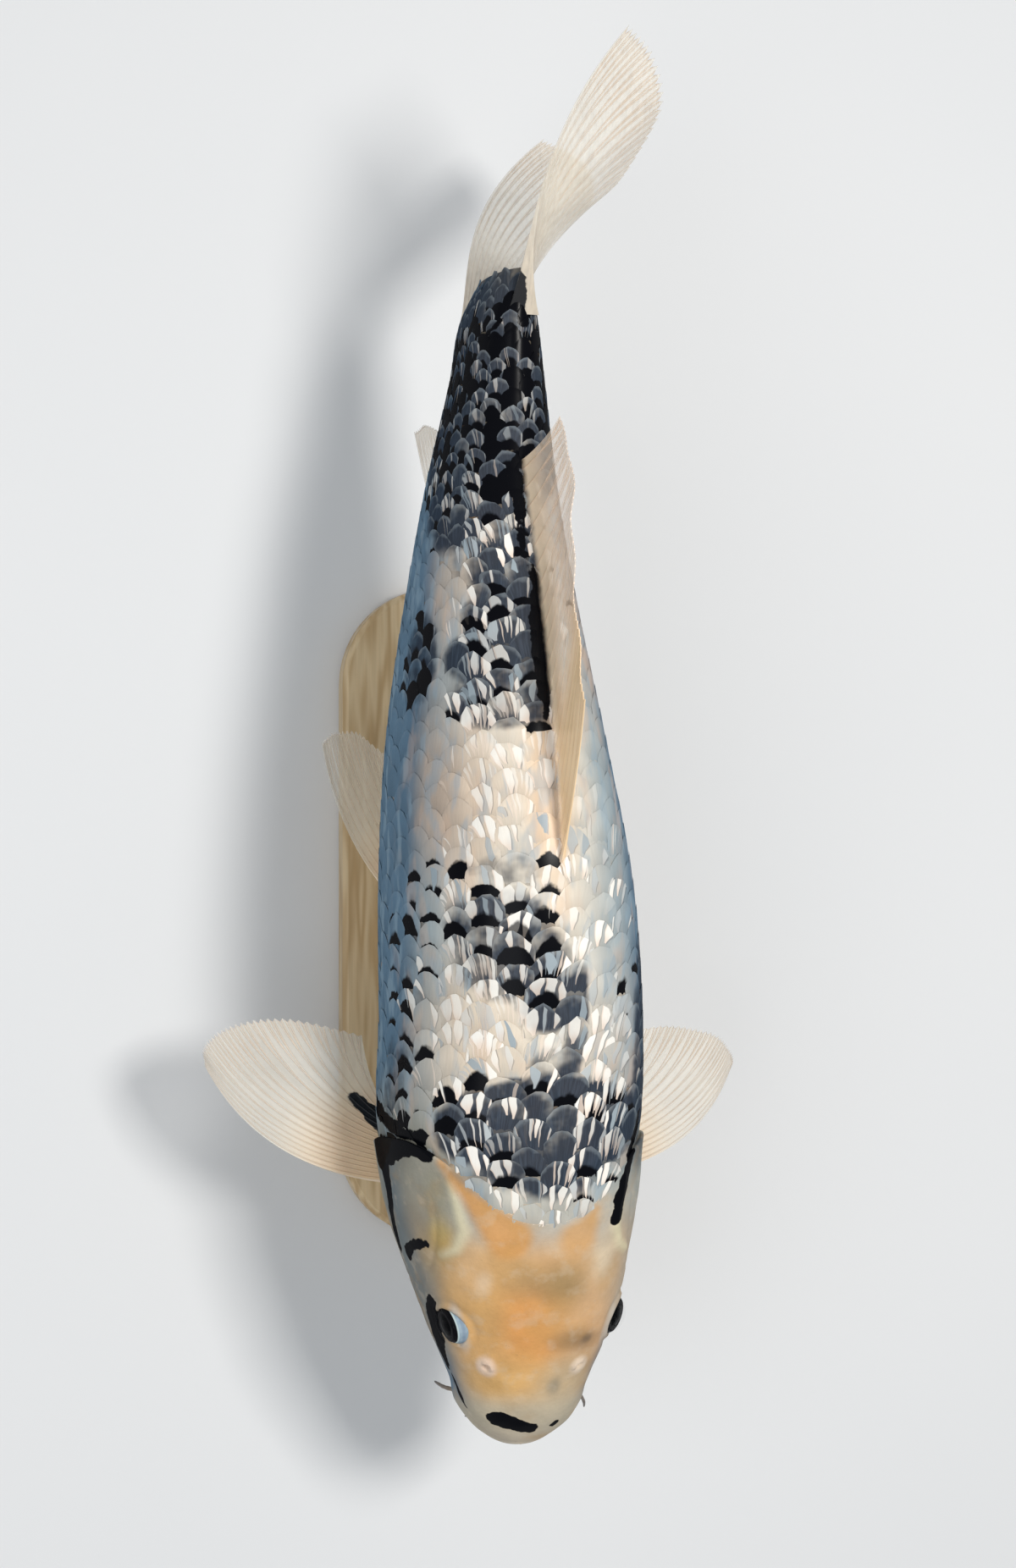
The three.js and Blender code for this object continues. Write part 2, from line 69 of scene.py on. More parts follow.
# A black line on a fin: its two ends and the half-width at each.
Stain = tuple[Spots, tuple[float, float]]


class Side(Enum):
    """A side of the fish: the sign of its x."""

    LEFT = 1
    RIGHT = -1


# ---------------------------------------------------------------- sums on whole arrays


def ease(low: float, high: float, value: Array) -> Array:
    """A smooth step: 0 below low, 1 above high, and 3t^2 - 2t^3 between them."""
    t = np.clip((value - low) / (high - low), 0, 1)
    return t * t * (3 - 2 * t)


def bell(distance: Array, width: float) -> Array:
    """A bell curve: e to the minus square of distance over width."""
    return np.exp(-((distance / width) ** 2))


def swell(distance: Array, *rings: Ring) -> Array:
    """The sum of bells, each given as its height, how far off its middle lies, and its width."""
    return sum(height * bell(distance - middle, width) for height, middle, width in rings)


def unit(vectors: Array) -> Array:
    """The vectors with their lengths made 1."""
    return vectors / np.maximum(np.linalg.norm(vectors, axis=-1, keepdims=True), 1e-9)


def lerp(first: Array, second: Array, share: Array) -> Array:
    """The point that lies share of the way from first to second."""
    return first + (second - first) * share


def ripple(points: Array, wavelength: float, seed: int, waves: int = 10) -> Array:
    """A smooth random field: the mean of plane waves in random directions, about -1 to 1.

    Args:
        points: places in millimetres, shaped (..., 3).
        wavelength: the waves' mean length.
        seed: which field.
        waves: how many waves are added.

    Returns:
        One value for each point.
    """
    chance = np.random.default_rng(seed)
    turns = unit(chance.normal(size=(waves, 3))) * chance.uniform(0.7, 1.5, (waves, 1))
    starts = chance.uniform(0, 2 * math.pi, waves)
    return np.cos(points @ turns.T * (2 * math.pi / wavelength) + starts).sum(-1) / math.sqrt(waves)


def through(spots: Array, share: Array) -> Array:
    """A Catmull-Rom curve: cubics whose slope at a spot is half the step between its neighbours.

    Args:
        spots: the points, shaped (n, 3). The curve's ends mirror their neighbours.
        share: places along the curve, from 0 to 1, with the spots evenly spread.

    Returns:
        The points of the curve, shaped (..., 3).
    """
    ends = np.concatenate([2 * spots[:1] - spots[1:2], spots, 2 * spots[-1:] - spots[-2:-1]])
    place = np.clip(share, 0, 1) * (len(spots) - 1)
    i = np.minimum(place.astype(int), len(spots) - 2)
    t = (place - i)[..., None]
    before, start, stop, after = ends[i], ends[i + 1], ends[i + 2], ends[i + 3]
    slope, next_slope = (stop - before) / 2, (after - start) / 2
    bent = (2 * start - 2 * stop + slope + next_slope) * t**3
    return start + slope * t + (3 * stop - 3 * start - 2 * slope - next_slope) * t**2 + bent


# ---------------------------------------------------------------- meshes


def place_object(name: str, data: bpy.types.ID) -> bpy.types.Object:
    """A new object of the scene with its data."""
    made = bpy.data.objects.new(name, data)
    bpy.context.scene.collection.objects.link(made)
    return made


def cells(ids: Array) -> Array:
    """The quads of a grid of point numbers, turned so that columns cross rows is outward."""
    return np.stack([ids[:-1, :-1], ids[:-1, 1:], ids[1:, 1:], ids[1:, :-1]], -1).reshape(-1, 4)


@dataclass
class Shape:
    """One mesh in the making.

    Attributes:
        points: places in millimetres, shaped (n, 3).
        faces: arrays of quads or triangles, as point numbers.
        maps: for each UV map, an array of corner places beside each array of faces.
        values: for each attribute, a number or an RGBA colour for each point.
        crisp: for each point, whether it lies on a rim, whose edges are shaded sharp.
    """

    points: Array
    faces: list[Array]
    maps: dict[str, list[Array]] = field(default_factory=dict)
    values: dict[str, Array] = field(default_factory=dict)
    crisp: Array | None = None

    def make(self, name: str, material: Material, slot: str, *nodes: str) -> None:
        """Makes the mesh, rides it on the body and hides the nodes that it replaces.

        Args:
            name: the piece's name.
            material: its finish.
            slot: the record's slot of that finish; not used.
            nodes: the CAD nodes that it stands for.
        """
        mesh = bpy.data.meshes.new(name)
        sizes = np.concatenate([np.full(len(f), f.shape[1]) for f in self.faces])
        corners = np.concatenate([f.ravel() for f in self.faces])
        mesh.vertices.add(len(self.points))
        mesh.vertices.foreach_set("co", (self.points * MM).astype(np.float32).ravel())
        mesh.loops.add(len(corners))
        mesh.loops.foreach_set("vertex_index", corners.astype(np.int32))
        mesh.polygons.add(len(sizes))
        starts = np.concatenate([[0], np.cumsum(sizes)[:-1]])
        mesh.polygons.foreach_set("loop_start", starts.astype(np.int32))
        mesh.update(calc_edges=True)
        for title, places in self.maps.items():
            layer = mesh.uv_layers.new(name=title)
            flat = np.concatenate([p.reshape(-1, 2) for p in places]).astype(np.float32)
            layer.uv.foreach_set("vector", flat.ravel())
        for title, numbers in self.values.items():
            colour = numbers.ndim == 2
            layer = mesh.attributes.new(title, "FLOAT_COLOR" if colour else "FLOAT", "POINT")
            layer.data.foreach_set("color" if colour else "value", numbers.astype(np.float32).ravel())
        mesh.shade_smooth()
        if self.crisp is not None:
            ends = np.empty(2 * len(mesh.edges), np.int32)
            mesh.edges.foreach_get("vertices", ends)
            sharp = self.crisp[ends.reshape(-1, 2)].all(1)
            mesh.attributes.new("sharp_edge", "BOOLEAN", "EDGE").data.foreach_set("value", sharp)
        piece = place_object(name, mesh)
        mesh.materials.append(material)
        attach(piece, BODY)
        if nodes:
            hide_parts(*nodes)
        LOG.info("%s: %d faces", name, len(sizes))


def tube(rings: Array, pole_start: Array, pole_end: Array) -> tuple[Array, list[Array]]:
    """A closed surface through rings, with a fan of triangles to a pole at each end.

    Args:
        rings: points shaped (rings, round, 3), where round cross along points outward.
        pole_start: the point before the first ring.
        pole_end: the point after the last one.

    Returns:
        The points, poles last, and the faces: quads, first fan, last fan.
    """
    count, around = rings.shape[:2]
    ids = np.arange(count * around).reshape(count, around)
    ids = np.concatenate([ids, ids[:, :1]], 1)
    start, end = count * around, count * around + 1
    first = np.stack([np.full(around, start), ids[0, 1:], ids[0, :-1]], -1)
    last = np.stack([np.full(around, end), ids[-1, :-1], ids[-1, 1:]], -1)
    points = np.concatenate([rings.reshape(-1, 3), pole_start[None], pole_end[None]])
    return points, [cells(ids), first, last]


def tube_map(u: Array, v: Array) -> list[Array]:
    """The corner places of a tube's faces on a map.

    Args:
        u: the rings' places along the map, with the two poles' at the ends.
        v: the columns' places across it, with the first column's again at the end.

    Returns:
        One array of corner places for each array of the tube's faces.
    """
    grid = np.stack(np.meshgrid(u[1:-1], v, indexing="ij"), -1)
    quads = np.stack([grid[:-1, :-1], grid[:-1, 1:], grid[1:, 1:], grid[1:, :-1]], 2).reshape(-1, 4, 2)
    middle = (v[1:] + v[:-1]) / 2
    fans = []
    for pole, ring, left, right in ((u[0], u[1], v[1:], v[:-1]), (u[-1], u[-2], v[:-1], v[1:])):
        tips = np.stack([np.full(len(middle), pole), middle], -1)
        sides = [np.stack([np.full(len(middle), ring), side], -1) for side in (left, right)]
        fans.append(np.stack([tips, *sides], 1))
    return [quads, *fans]


def shell(top: Array, under: Array) -> tuple[Array, Array, Array]:
    """A closed plate between two sheets of the same grid, with a strip round their rims.

    Args:
        top: points shaped (rows, columns, 3), where columns cross rows points away from under.
        under: the points of the other side.

    Returns:
        The points, the quads, and for each point whether it is on the rim.
    """
    rows, columns = top.shape[:2]
    ids = np.arange(rows * columns).reshape(rows, columns)
    below = ids + rows * columns
    loop = np.concatenate([ids[0, :-1], ids[:-1, -1], ids[-1, :0:-1], ids[:0:-1, 0]])
    after = np.roll(loop, -1)
    rim = np.stack([after, loop, loop + rows * columns, after + rows * columns], -1)
    points = np.concatenate([top.reshape(-1, 3), under.reshape(-1, 3)])
    crisp = np.zeros(len(points), bool)
    crisp[rim.ravel()] = True
    return points, np.concatenate([cells(ids), cells(below)[:, ::-1], rim]), crisp


# ---------------------------------------------------------------- the body's form


@dataclass(frozen=True)
class Station:
    """One cross-section of the body, with heights from the long axis.

    Attributes:
        at: share of the body's length from the snout.
        half: half-width.
        top, bottom, level: the heights of back, belly and widest line.
        square: 2 is an ellipse, more is squarer.
        bend: how far the spine lies to the fish's left.
        roll: degrees by which the back leans towards the fish's left.
    """

    at: float
    half: float
    top: float
    bottom: float
    level: float
    square: float
    bend: float
    roll: float


STATIONS = (
    Station(0.0, 24.5, 5, -34, -15, 2.3, 10, 0),
    Station(0.05, 29.5, 16, -40, -12, 2.5, 8, 0),
    Station(0.11, 41, 32.5, -49, -8, 2.65, 6.5, 0),
    Station(0.19, 52, 51, -60, -6, 2.5, 3, 0),
    Station(0.27, 58.5, 63, -68, -5, 2.3, 1, 0),
    Station(0.38, 58, 73, -75, -4, 2.2, 1.5, 1),
    Station(0.5, 54.5, 76.5, -76, -2, 2.15, -1.5, 4),
    Station(0.62, 46, 70, -68, 0, 2.1, -6.5, 7.5),
    Station(0.74, 36, 57, -54, 0, 2.05, -9, 8.5),
    Station(0.86, 27.5, 41, -39.5, 0, 2, -8, 5),
    Station(0.94, 20.5, 35, -33.5, 0, 2, -5.5, 3),
    Station(1.0, 15, 35, -34.5, 0, 2, -4.5, 1),
    Station(1.03, 9, 34, -33.5, 0, 2, -2.5, 0),
)


# How far along the body each eye lies, and how high over the axis.
EYE_SPOTS = {Side.LEFT: (0.119, 14.0), Side.RIGHT: (0.1165, 17.5)}


class Body:
    """The smooth outer form of the fish, that skin, scales and fins are set on.

    Each measure runs on cubics through the stations. A section is a superellipse round its widest
    line, the snout is rounded off as a quarter ellipse, and a table of arc lengths turns a share of
    the girth into the section's own angle.
    """

    length: float = 513
    axis_height: float = 145
    nose: float = 0.05
    tail_end: float = STATIONS[-1].at
    table_rows: int = 207
    table_columns: int = 241
    section_steps: int = 720
    search_steps: int = 500

    def __init__(self, snout_y: float) -> None:
        """Works out the slopes and the table of arc lengths, for a snout at snout_y."""
        self.snout_y = snout_y
        self.places = np.array([s.at for s in STATIONS])
        self._slopes: dict[str, Array] = {}
        self._heights: dict[str, Array] = {}
        steps = np.diff(self.places)
        for key in ("half", "top", "bottom", "level", "square", "bend", "roll"):
            numbers = np.array([getattr(s, key) for s in STATIONS], float)
            rise = np.diff(numbers) / steps
            inner = (rise[1:] * steps[:-1] + rise[:-1] * steps[1:]) / (steps[:-1] + steps[1:])
            self._heights[key] = numbers
            self._slopes[key] = np.concatenate([rise[:1], inner, rise[-1:]])
        rows = np.linspace(0, self.tail_end, self.table_rows)[:, None]
        turns = np.radians(np.linspace(-180, 180, self.section_steps + 1))[None]
        x, z = self._section(rows + 0 * turns, turns + 0 * rows)
        run = np.cumsum(np.hypot(np.diff(x, axis=1), np.diff(z, axis=1)), 1)
        run = np.concatenate([np.zeros((len(rows), 1)), run], 1)
        self._girths = run[:, -1]
        self._shares = np.linspace(-0.5, 0.5, self.table_columns)
        self._turns = np.array([
            np.interp(self._shares, line / line[-1] - 0.5, turns[0]) for line in run
        ])

    def measure(self, at: Array, key: str) -> Array:
        """A station's measure at a share of the length, by Hermite cubics through the stations."""
        heights, slopes = self._heights[key], self._slopes[key]
        i = np.clip(np.searchsorted(self.places, at, side="left") - 1, 0, len(STATIONS) - 2)
        span = self.places[i + 1] - self.places[i]
        t = np.clip((at - self.places[i]) / span, 0, 1)
        rise = heights[i] * (2 * t**3 - 3 * t**2 + 1) + heights[i + 1] * (3 * t**2 - 2 * t**3)
        return rise + span * (slopes[i] * (t**3 - 2 * t**2 + t) + slopes[i + 1] * (t**3 - t**2))

    def _section(self, at: Array, turn: Array) -> tuple[Array, Array]:
        """The section's own x and z from its widest line: half-width by a power of the sine, and
        reach by the same power of the cosine, where the power is 2 over square."""
        power = 2 / self.measure(at, "square")
        level = self.measure(at, "level")
        up = self.measure(at, "top") - level
        down = level - self.measure(at, "bottom")
        sine, cosine = np.sin(turn), np.cos(turn)
        x = self.measure(at, "half") * np.sign(sine) * np.abs(sine) ** power
        z = np.where(cosine > 0, up, down) * np.sign(cosine) * np.abs(cosine) ** power
        return x, z

    def turn(self, at: Array, share: Array) -> Array:
        """The section's angle at a share of the girth, from the table, between its four entries."""
        share = (share + 0.5) % 1
        row = np.clip(at / self.tail_end, 0, 1) * (self.table_rows - 1)
        column = share * (self.table_columns - 1)
        i = np.minimum(row.astype(int), self.table_rows - 2)
        j = np.minimum(column.astype(int), self.table_columns - 2)
        down, over = row - i, column - j
        upper = lerp(self._turns[i, j], self._turns[i, j + 1], over)
        lower = lerp(self._turns[i + 1, j], self._turns[i + 1, j + 1], over)
        return lerp(upper, lower, down)

    def girth(self, at: Array) -> Array:
        """The length round the section."""
        return np.interp(at, np.linspace(0, self.tail_end, self.table_rows), self._girths)

    def point(self, at: Array, share: Array) -> Array:
        """The form's point: the section, shrunk over the snout by the quarter ellipse, then rolled about
        the spine and moved by the bend.

        Args:
            at: share of the length, an array or a number.
            share: share of the girth, the same.

        Returns:
            Points in millimetres, shaped (..., 3).
        """
        at, share = np.broadcast_arrays(np.asarray(at, float), np.asarray(share, float))
        x, z = self._section(at, self.turn(at, share))
        cut = 1 - np.clip(at, 0, self.nose) / self.nose
        shrink = np.sqrt(1 - cut**2)
        roll = np.radians(self.measure(at, "roll"))
        x, z = x * shrink, z * shrink + self.measure(at, "level")
        return np.stack([
            self.measure(at, "bend") + x * np.cos(roll) + z * np.sin(roll),
            self.snout_y + at * self.length,
            self.axis_height + z * np.cos(roll) - x * np.sin(roll),
        ], -1)

    def spot(self, spots: Spots) -> Array:
        """Spots given as (x, share of the length, height over the axis), in millimetres."""
        x, at, z = np.moveaxis(np.array(spots, float), -1, 0)
        return np.stack([x, self.snout_y + at * self.length, self.axis_height + z], -1)

    def axes(self, at: Array, share: Array) -> tuple[Array, Array, Array, Array]:
        """The point, and its directions from differences over a small step.

        Args:
            at: share of the length.
            share: share of the girth.

        Returns:
            The point, and the unit vectors along the body, round it and outward.
        """
        step, turn, least = 0.0006, 0.003, 1e-5
        at, share = np.broadcast_arrays(np.asarray(at, float), np.asarray(share, float))
        along = unit(self.point(at + step, share) - self.point(np.maximum(at - step, 0), share))
        near = np.maximum(at, least)
        around = unit(self.point(near, share + turn) - self.point(near, share - turn))
        return self.point(at, share), along, around, unit(np.cross(around, along))

    def beside(self, at: float, across: float, high: float) -> float:
        """The share of girth, on the side of across's sign, whose skin is high above the axis."""
        shares = np.linspace(0, 0.5, self.search_steps + 1)
        places = self.point(np.full(shares.shape, at), shares * np.sign(across))
        heights = places[:, 2] - self.axis_height
        return float(np.sign(across) * np.interp(-high, -heights, shares))

    def eye_spot(self, side: Side) -> tuple[float, float]:
        """The place of an eye's middle on the skin: share of the length, and of the girth."""
        at, high = EYE_SPOTS[side]
        return at, self.beside(at, side.value, high)


@dataclass(frozen=True)
class GillEdge:
    """The rear edge of the head: where the scales begin on the nape, the gill covers' edge on the
    sides, and the throat below.

    Attributes:
        spots: shares of the girth from the back, each with the edge's share of the length there.
        blur: how far the edge is averaged to each side, from so many samples.
        nape: shares of the girth between which the fold begins.
        throat: shares of the girth between which half of it ends.
    """

    spots: tuple[tuple[float, float], ...] = (
        (0.0, 0.2085), (0.028, 0.2105), (0.056, 0.2210), (0.078, 0.2360), (0.1, 0.2530),
        (0.128, 0.2690), (0.16, 0.2770), (0.19, 0.2800), (0.25, 0.2770), (0.3, 0.2700),
        (0.36, 0.2570), (0.42, 0.2330), (0.47, 0.2120), (0.5, 0.2065),
    )
    blur: float = 0.014
    samples: int = 7
    nape: tuple[float, float] = (0.1, 0.15)
    throat: tuple[float, float] = (0.38, 0.46)

    def place(self, share: Array) -> Array:
        """The edge's share of the length: straight lines through the spots, averaged over a little
        way on each side."""
        shares, places = np.array(self.spots).T
        offsets = np.linspace(-self.blur, self.blur, self.samples)
        turned = (share[..., None] + offsets + 0.5) % 1 - 0.5
        return np.interp(np.abs(turned), shares, places).mean(-1)

    def strength(self, share: Array) -> Array:
        """How much of a fold there is: none on the nape, all on the sides, half at the throat."""
        away = np.abs(share)
        return ease(*self.nape, away) * (1 - 0.5 * ease(*self.throat, away))


# ---------------------------------------------------------------- markings


Colour = tuple[float, float, float]


def linear(colour: Colour) -> Array:
    """A display colour of 0 to 255 as scene-linear light, by the sRGB curve."""
    c = np.array(colour, float) / 255
    return np.where(c <= 0.04045, c / 12.92, ((c + 0.055) / 1.055) ** 2.4)


@dataclass(frozen=True)
class Patch:
    """A soft oval place on the body.

    Attributes:
        at, share: its middle.
        length, width: half its length along the body and half its width round it.
        strength: its weight at the middle.
        colour: the colour that it lays over the skin, if it is one of colour.
        soft: how wide its edge is, as a share of its size.
        turn: degrees by which its length leans towards the fish's left.
    """

    at: float
    share: float
    length: float
    width: float
    strength: float = 1.0
    colour: Colour = (0, 0, 0)
    soft: float = 0.35
    turn: float = 0.0

    def weight(self, body: Body, at: Array, share: Array) -> Array:
        """Strength times one minus a smooth step across the oval's edge."""
        along = (at - self.at) * body.length
        around = ((share - self.share + 0.5) % 1 - 0.5) * body.girth(at)
        lean = math.radians(self.turn)
        u = along * math.cos(lean) + around * math.sin(lean)
        v = around * math.cos(lean) - along * math.sin(lean)
        away = np.hypot(u / self.length, v / self.width)
        return self.strength * (1 - ease(1 - self.soft, 1 + self.soft, away))


Stroke = tuple[tuple[float, float, float], ...]


@dataclass(frozen=True)
class Streak:
    """A soft line of colour on the body.

    Attributes:
        stroke: at, share and half-width of each of its points.
        colour: the colour that it lays over the skin.
        strength: its weight on its middle line.
        soft: how wide its edge is.
    """

    stroke: Stroke
    colour: Colour
    strength: float = 1.0
    soft: float = 2.0

    def weight(self, body: Body, at: Array, share: Array) -> Array:
        """Strength times a smooth step across the line's edge."""
        deep = inside_stroke(body, self.stroke, body.point(at, share))
        return self.strength * ease(-self.soft, self.soft, deep)


def inside_line(spots: Array, points: Array) -> Array:
    """How deep points are inside a wide line: its half-width less the distance to its middle.

    Args:
        spots: x, y, z and half-width of each end and corner of the line.
        points: places, shaped (..., 3).

    Returns:
        Millimetres, above 0 inside the line.
    """
    deep = np.full(points.shape[:-1], NO_INK)
    for start, stop in zip(spots[:-1], spots[1:]):
        step = stop[:3] - start[:3]
        t = np.clip((points - start[:3]) @ step / max(step @ step, 1e-6), 0, 1)
        away = np.linalg.norm(points - start[:3] - t[..., None] * step, axis=-1)
        deep = np.maximum(deep, lerp(start[3], stop[3], t) - away)
    return deep


def inside_stroke(body: Body, stroke: Stroke, points: Array) -> Array:
    """How deep points are inside a stroke on the body, in millimetres."""
    return inside_line(np.array([[*body.point(at, share), half] for at, share, half in stroke]), points)


# The ground colours, from the ridge of the back to the belly. The flank's dark blue is partly the
# fish's own blue-grey and partly painted shade of the sides, which turn away from the light.
BACK = (229, 221, 206)
SIDE = (168, 179, 182)
FLANK = (94, 122, 144)
BELLY = (226, 226, 222)
ORANGE = (214, 158, 98)
PEACH = (230, 184, 140)
SLATE = (34, 45, 60)
SUMI = (9, 10, 15)
# The brightest blades: painted glints of light, as a scene-linear colour.
GLEAM = np.array((1.0, 0.97, 0.9))
# Round the body from the back: each further ground colour, and where it begins and is full.
BANDS = ((SIDE, 0.05, 0.115), (FLANK, 0.105, 0.175), (BELLY, 0.29, 0.38))

# The ridge along the top of the right gill cover, and its fellow on the left.
COVER_RIDGE: Stroke = (
    (0.247, 0.111, 1.8), (0.224, 0.103, 2.9), (0.206, 0.1, 2.8), (0.190, 0.113, 2.4), (0.183, 0.137, 1.6),
)
COVER_RIDGES: tuple[Stroke, ...] = tuple(
    tuple((at, sign * share, half) for at, share, half in COVER_RIDGE) for sign in (-1, 1)
)

TINTS = (
    # Gill covers and cheeks.
    Patch(0.222, -0.2, 48, 50, 0.95, (156, 152, 138), 0.4),
    Patch(0.222, 0.2, 48, 50, 0.9, (164, 168, 162), 0.4),
    Patch(0.15, -0.2, 36, 44, 0.8, (170, 152, 128), 0.5),
    Patch(0.15, 0.2, 36, 44, 0.8, (186, 166, 142), 0.5),
    # The right cheek's outer side: its own blue-grey, partly painted shade where it turns from the light.
    Patch(0.225, -0.24, 44, 16, 0.85, (106, 118, 124), 0.7),
    Patch(0.155, -0.235, 34, 16, 0.7, (116, 124, 126), 0.7),
    Patch(0.230, -0.130, 12, 7, 0.6, (150, 144, 120), 0.7),
    Patch(0.197, -0.131, 9, 7, 0.75, (196, 168, 96), 0.7),
    Patch(0.185, -0.15, 10, 10, 0.3, (206, 172, 112), 0.7),
    # The orange crown.
    Patch(0.126, -0.006, 46, 34, 0.97, ORANGE, 0.22),
    Patch(0.175, -0.07, 16, 14, 0.6, (222, 168, 100), 0.8),
    Patch(0.105, -0.01, 22, 26, 0.6, (236, 166, 96), 0.8),
    Patch(0.135, 0.085, 34, 14, 0.7, (212, 178, 140), 0.6),
    Patch(0.185, 0.1, 22, 12, 0.5, (214, 184, 146), 0.7),
    Patch(0.12, -0.115, 22, 14, 0.75, (222, 178, 120), 0.6),
    Patch(0.155, -0.1, 18, 14, 0.75, (214, 170, 112), 0.6),
    Patch(0.07, -0.1, 18, 16, 0.6, (214, 172, 118), 0.7),
    Patch(0.062, -0.02, 12, 30, 0.7, (226, 184, 122), 0.7),
    Patch(0.062, 0.07, 14, 14, 0.7, (190, 176, 150), 0.7),
    # The snout.
    Patch(0.022, -0.02, 14, 60, 0.9, (196, 184, 160), 0.5),
    Patch(0.0, 0.0, 8, 90, 0.7, (202, 188, 168), 0.6),
    # Olive clouds.
    Patch(0.185, 0.0, 14, 30, 0.5, (206, 178, 138), 0.9),
    Patch(0.162, -0.022, 7, 11, 0.42, (140, 126, 92), 0.9),
    Patch(0.157, 0.03, 8, 9, 0.5, (132, 122, 92), 0.9),
    Patch(0.135, 0.025, 16, 9, 0.4, (172, 146, 100), 0.9, 14),
    Patch(0.104, 0.066, 4.5, 11, 0.75, (128, 106, 84), 0.8),
    Patch(0.105, 0.086, 2.2, 2.6, 0.5, (86, 80, 70), 0.6),
    Patch(0.060, 0.045, 3.6, 3.2, 0.6, (138, 132, 118), 0.8),
    # Pale bumps beside the crown.
    Patch(0.160, -0.083, 5, 3.4, 0.7, (226, 200, 168), 0.8, 30),
    Patch(0.172, -0.1, 12, 7, 0.35, (214, 180, 144), 0.9, 20),
    Patch(0.182, 0.088, 10, 6, 0.5, (226, 214, 190), 0.7),
    # Nostrils.
    Patch(0.0815, -0.101, 4.8, 4.6, 0.85, (232, 208, 190), 0.35),
    Patch(0.079, 0.09, 4.4, 4.4, 0.8, (228, 210, 190), 0.35),
    # The nape, where skin turns into scales.
    Patch(0.221, 0.0, 13, 34, 0.9, (186, 186, 178), 0.8),
    Patch(0.238, -0.085, 10, 10, 0.85, (152, 158, 158), 0.5),
    # The pale lid over each eye.
    Patch(0.1165, -0.138, 9.5, 3.6, 0.8, (192, 198, 200), 0.6),
    Patch(0.1165, 0.138, 9, 3, 0.5, (196, 196, 190), 0.6),
    # Warm and cool places on the trunk.
    Patch(0.60, -0.165, 36, 14, 0.4, (190, 170, 150), 0.7),
    Patch(0.755, -0.150, 26, 15, 0.6, (204, 182, 160), 0.8),
    Patch(0.565, -0.12, 34, 22, 0.35, PEACH, 0.7),
    Patch(0.78, 0.09, 60, 16, 0.35, PEACH, 0.7),
    Patch(0.37, -0.1, 30, 30, 0.5, (226, 204, 178), 0.7),
    Patch(0.36, 0.07, 30, 20, 0.4, (228, 210, 188), 0.7),
    Patch(0.575, -0.012, 48, 9, 0.6, (238, 200, 158), 0.8),
)
STREAKS = (
    *(Streak(stroke, (220, 211, 178), 0.85, 2.8) for stroke in COVER_RIDGES),
    Streak(
        ((0.265, -0.122, 1.4), (0.240, -0.093, 3.0), (0.222, -0.072, 6.0), (0.2, -0.045, 10.0)),
        (216, 160, 98), 0.9, 3.0,
    ),
    Streak(((0.222, 0.064, 2.5), (0.2, 0.045, 9.0)), (210, 164, 110), 0.85, 4.0),
)

# Bluish deep pigment under the scales; on the flanks' outer sides partly painted shade.
SHADES = (
    Patch(0.297, 0.0, 23.5, 56, 1.0, soft=0.12),
    Patch(0.267, 0.0, 18, 38, 0.95, soft=0.4),
    Patch(0.345, -0.004, 12, 12, 0.75),
    Patch(0.385, 0.02, 32, 7, 0.85),
    # Along the flanks' outer sides: partly pigment, partly painted shade where the sides turn from the
    # light.
    Patch(0.33, -0.215, 30, 16, 0.6),
    Patch(0.40, -0.185, 62, 15, 0.5),
    Patch(0.36, 0.15, 56, 18, 0.9),
    Patch(0.405, -0.012, 16, 14, 0.9),
    Patch(0.466, -0.07, 19, 30, 0.85),
    Patch(0.44, -0.05, 20, 30, 0.9),
    # Along the right flank: partly pigment, partly painted shade.
    Patch(0.43, -0.19, 40, 8, 0.3),
    Patch(0.515, -0.06, 8, 24, 0.6),
    Patch(0.655, -0.07, 13, 30, 0.85),
    Patch(0.69, -0.08, 14, 28, 1.0),
    Patch(0.72, -0.055, 20, 24, 1.0),
    Patch(0.775, -0.05, 24, 15, 0.95),
    Patch(0.79, -0.11, 22, 14, 0.55),
    Patch(0.81, -0.07, 18, 26, 0.95),
    Patch(0.85, -0.12, 22, 40, 1.0),
    Patch(0.76, -0.045, 26, 22, 1.0),
    Patch(0.82, -0.15, 20, 26, 1.0),
    Patch(0.93, -0.06, 62, 60, 1.0, soft=0.2),
    Patch(0.93, -0.23, 60, 24, 1.0),
    Patch(0.69, -0.22, 24, 16, 0.85),
)

# How strongly the scales glitter: how many blades of painted glint each shows.
GLINTS = (
    Patch(0.40, -0.055, 34, 34, 1.0, soft=0.25),
    Patch(0.465, -0.05, 34, 30, 1.0, soft=0.25),
    Patch(0.53, -0.03, 18, 22, 0.95),
    Patch(0.285, -0.07, 26, 12, 1.0),
    Patch(0.285, 0.07, 22, 11, 0.95),
    Patch(0.29, 0.0, 26, 30, 0.5),
    Patch(0.60, -0.05, 60, 26, 0.95),
    Patch(0.685, -0.06, 34, 24, 1.0),
    Patch(0.72, -0.06, 24, 24, 1.0),
    Patch(0.495, -0.06, 14, 26, 1.0),
    Patch(0.77, -0.05, 40, 22, 0.5),
    Patch(0.345, 0.065, 40, 20, 1.0),
    Patch(0.252, 0.0, 16, 40, 0.7),
    Patch(0.218, -0.02, 13, 36, 0.85),
    Patch(0.46, 0.07, 60, 16, 0.45),
    Patch(0.82, -0.07, 30, 26, 0.7),
    Patch(0.5, -0.13, 150, 14, 0.35),
)

# Where whole scales are black, more or less often.
NIGHT = (
    Patch(0.935, -0.03, 34, 66, 1.0, soft=0.2),
    Patch(0.890, -0.06, 14, 56, 1.0, soft=0.2),
    Patch(0.858, -0.07, 10, 40, 0.6),
    Patch(0.83, -0.15, 14, 26, 0.5),
    Patch(0.975, -0.01, 18, 40, 0.8),
    Patch(0.695, -0.225, 20, 9, 0.6, soft=0.2),
    Patch(0.70, -0.035, 12, 16, 0.2),
    Patch(0.395, -0.19, 58, 13, 0.39, soft=0.25),
)

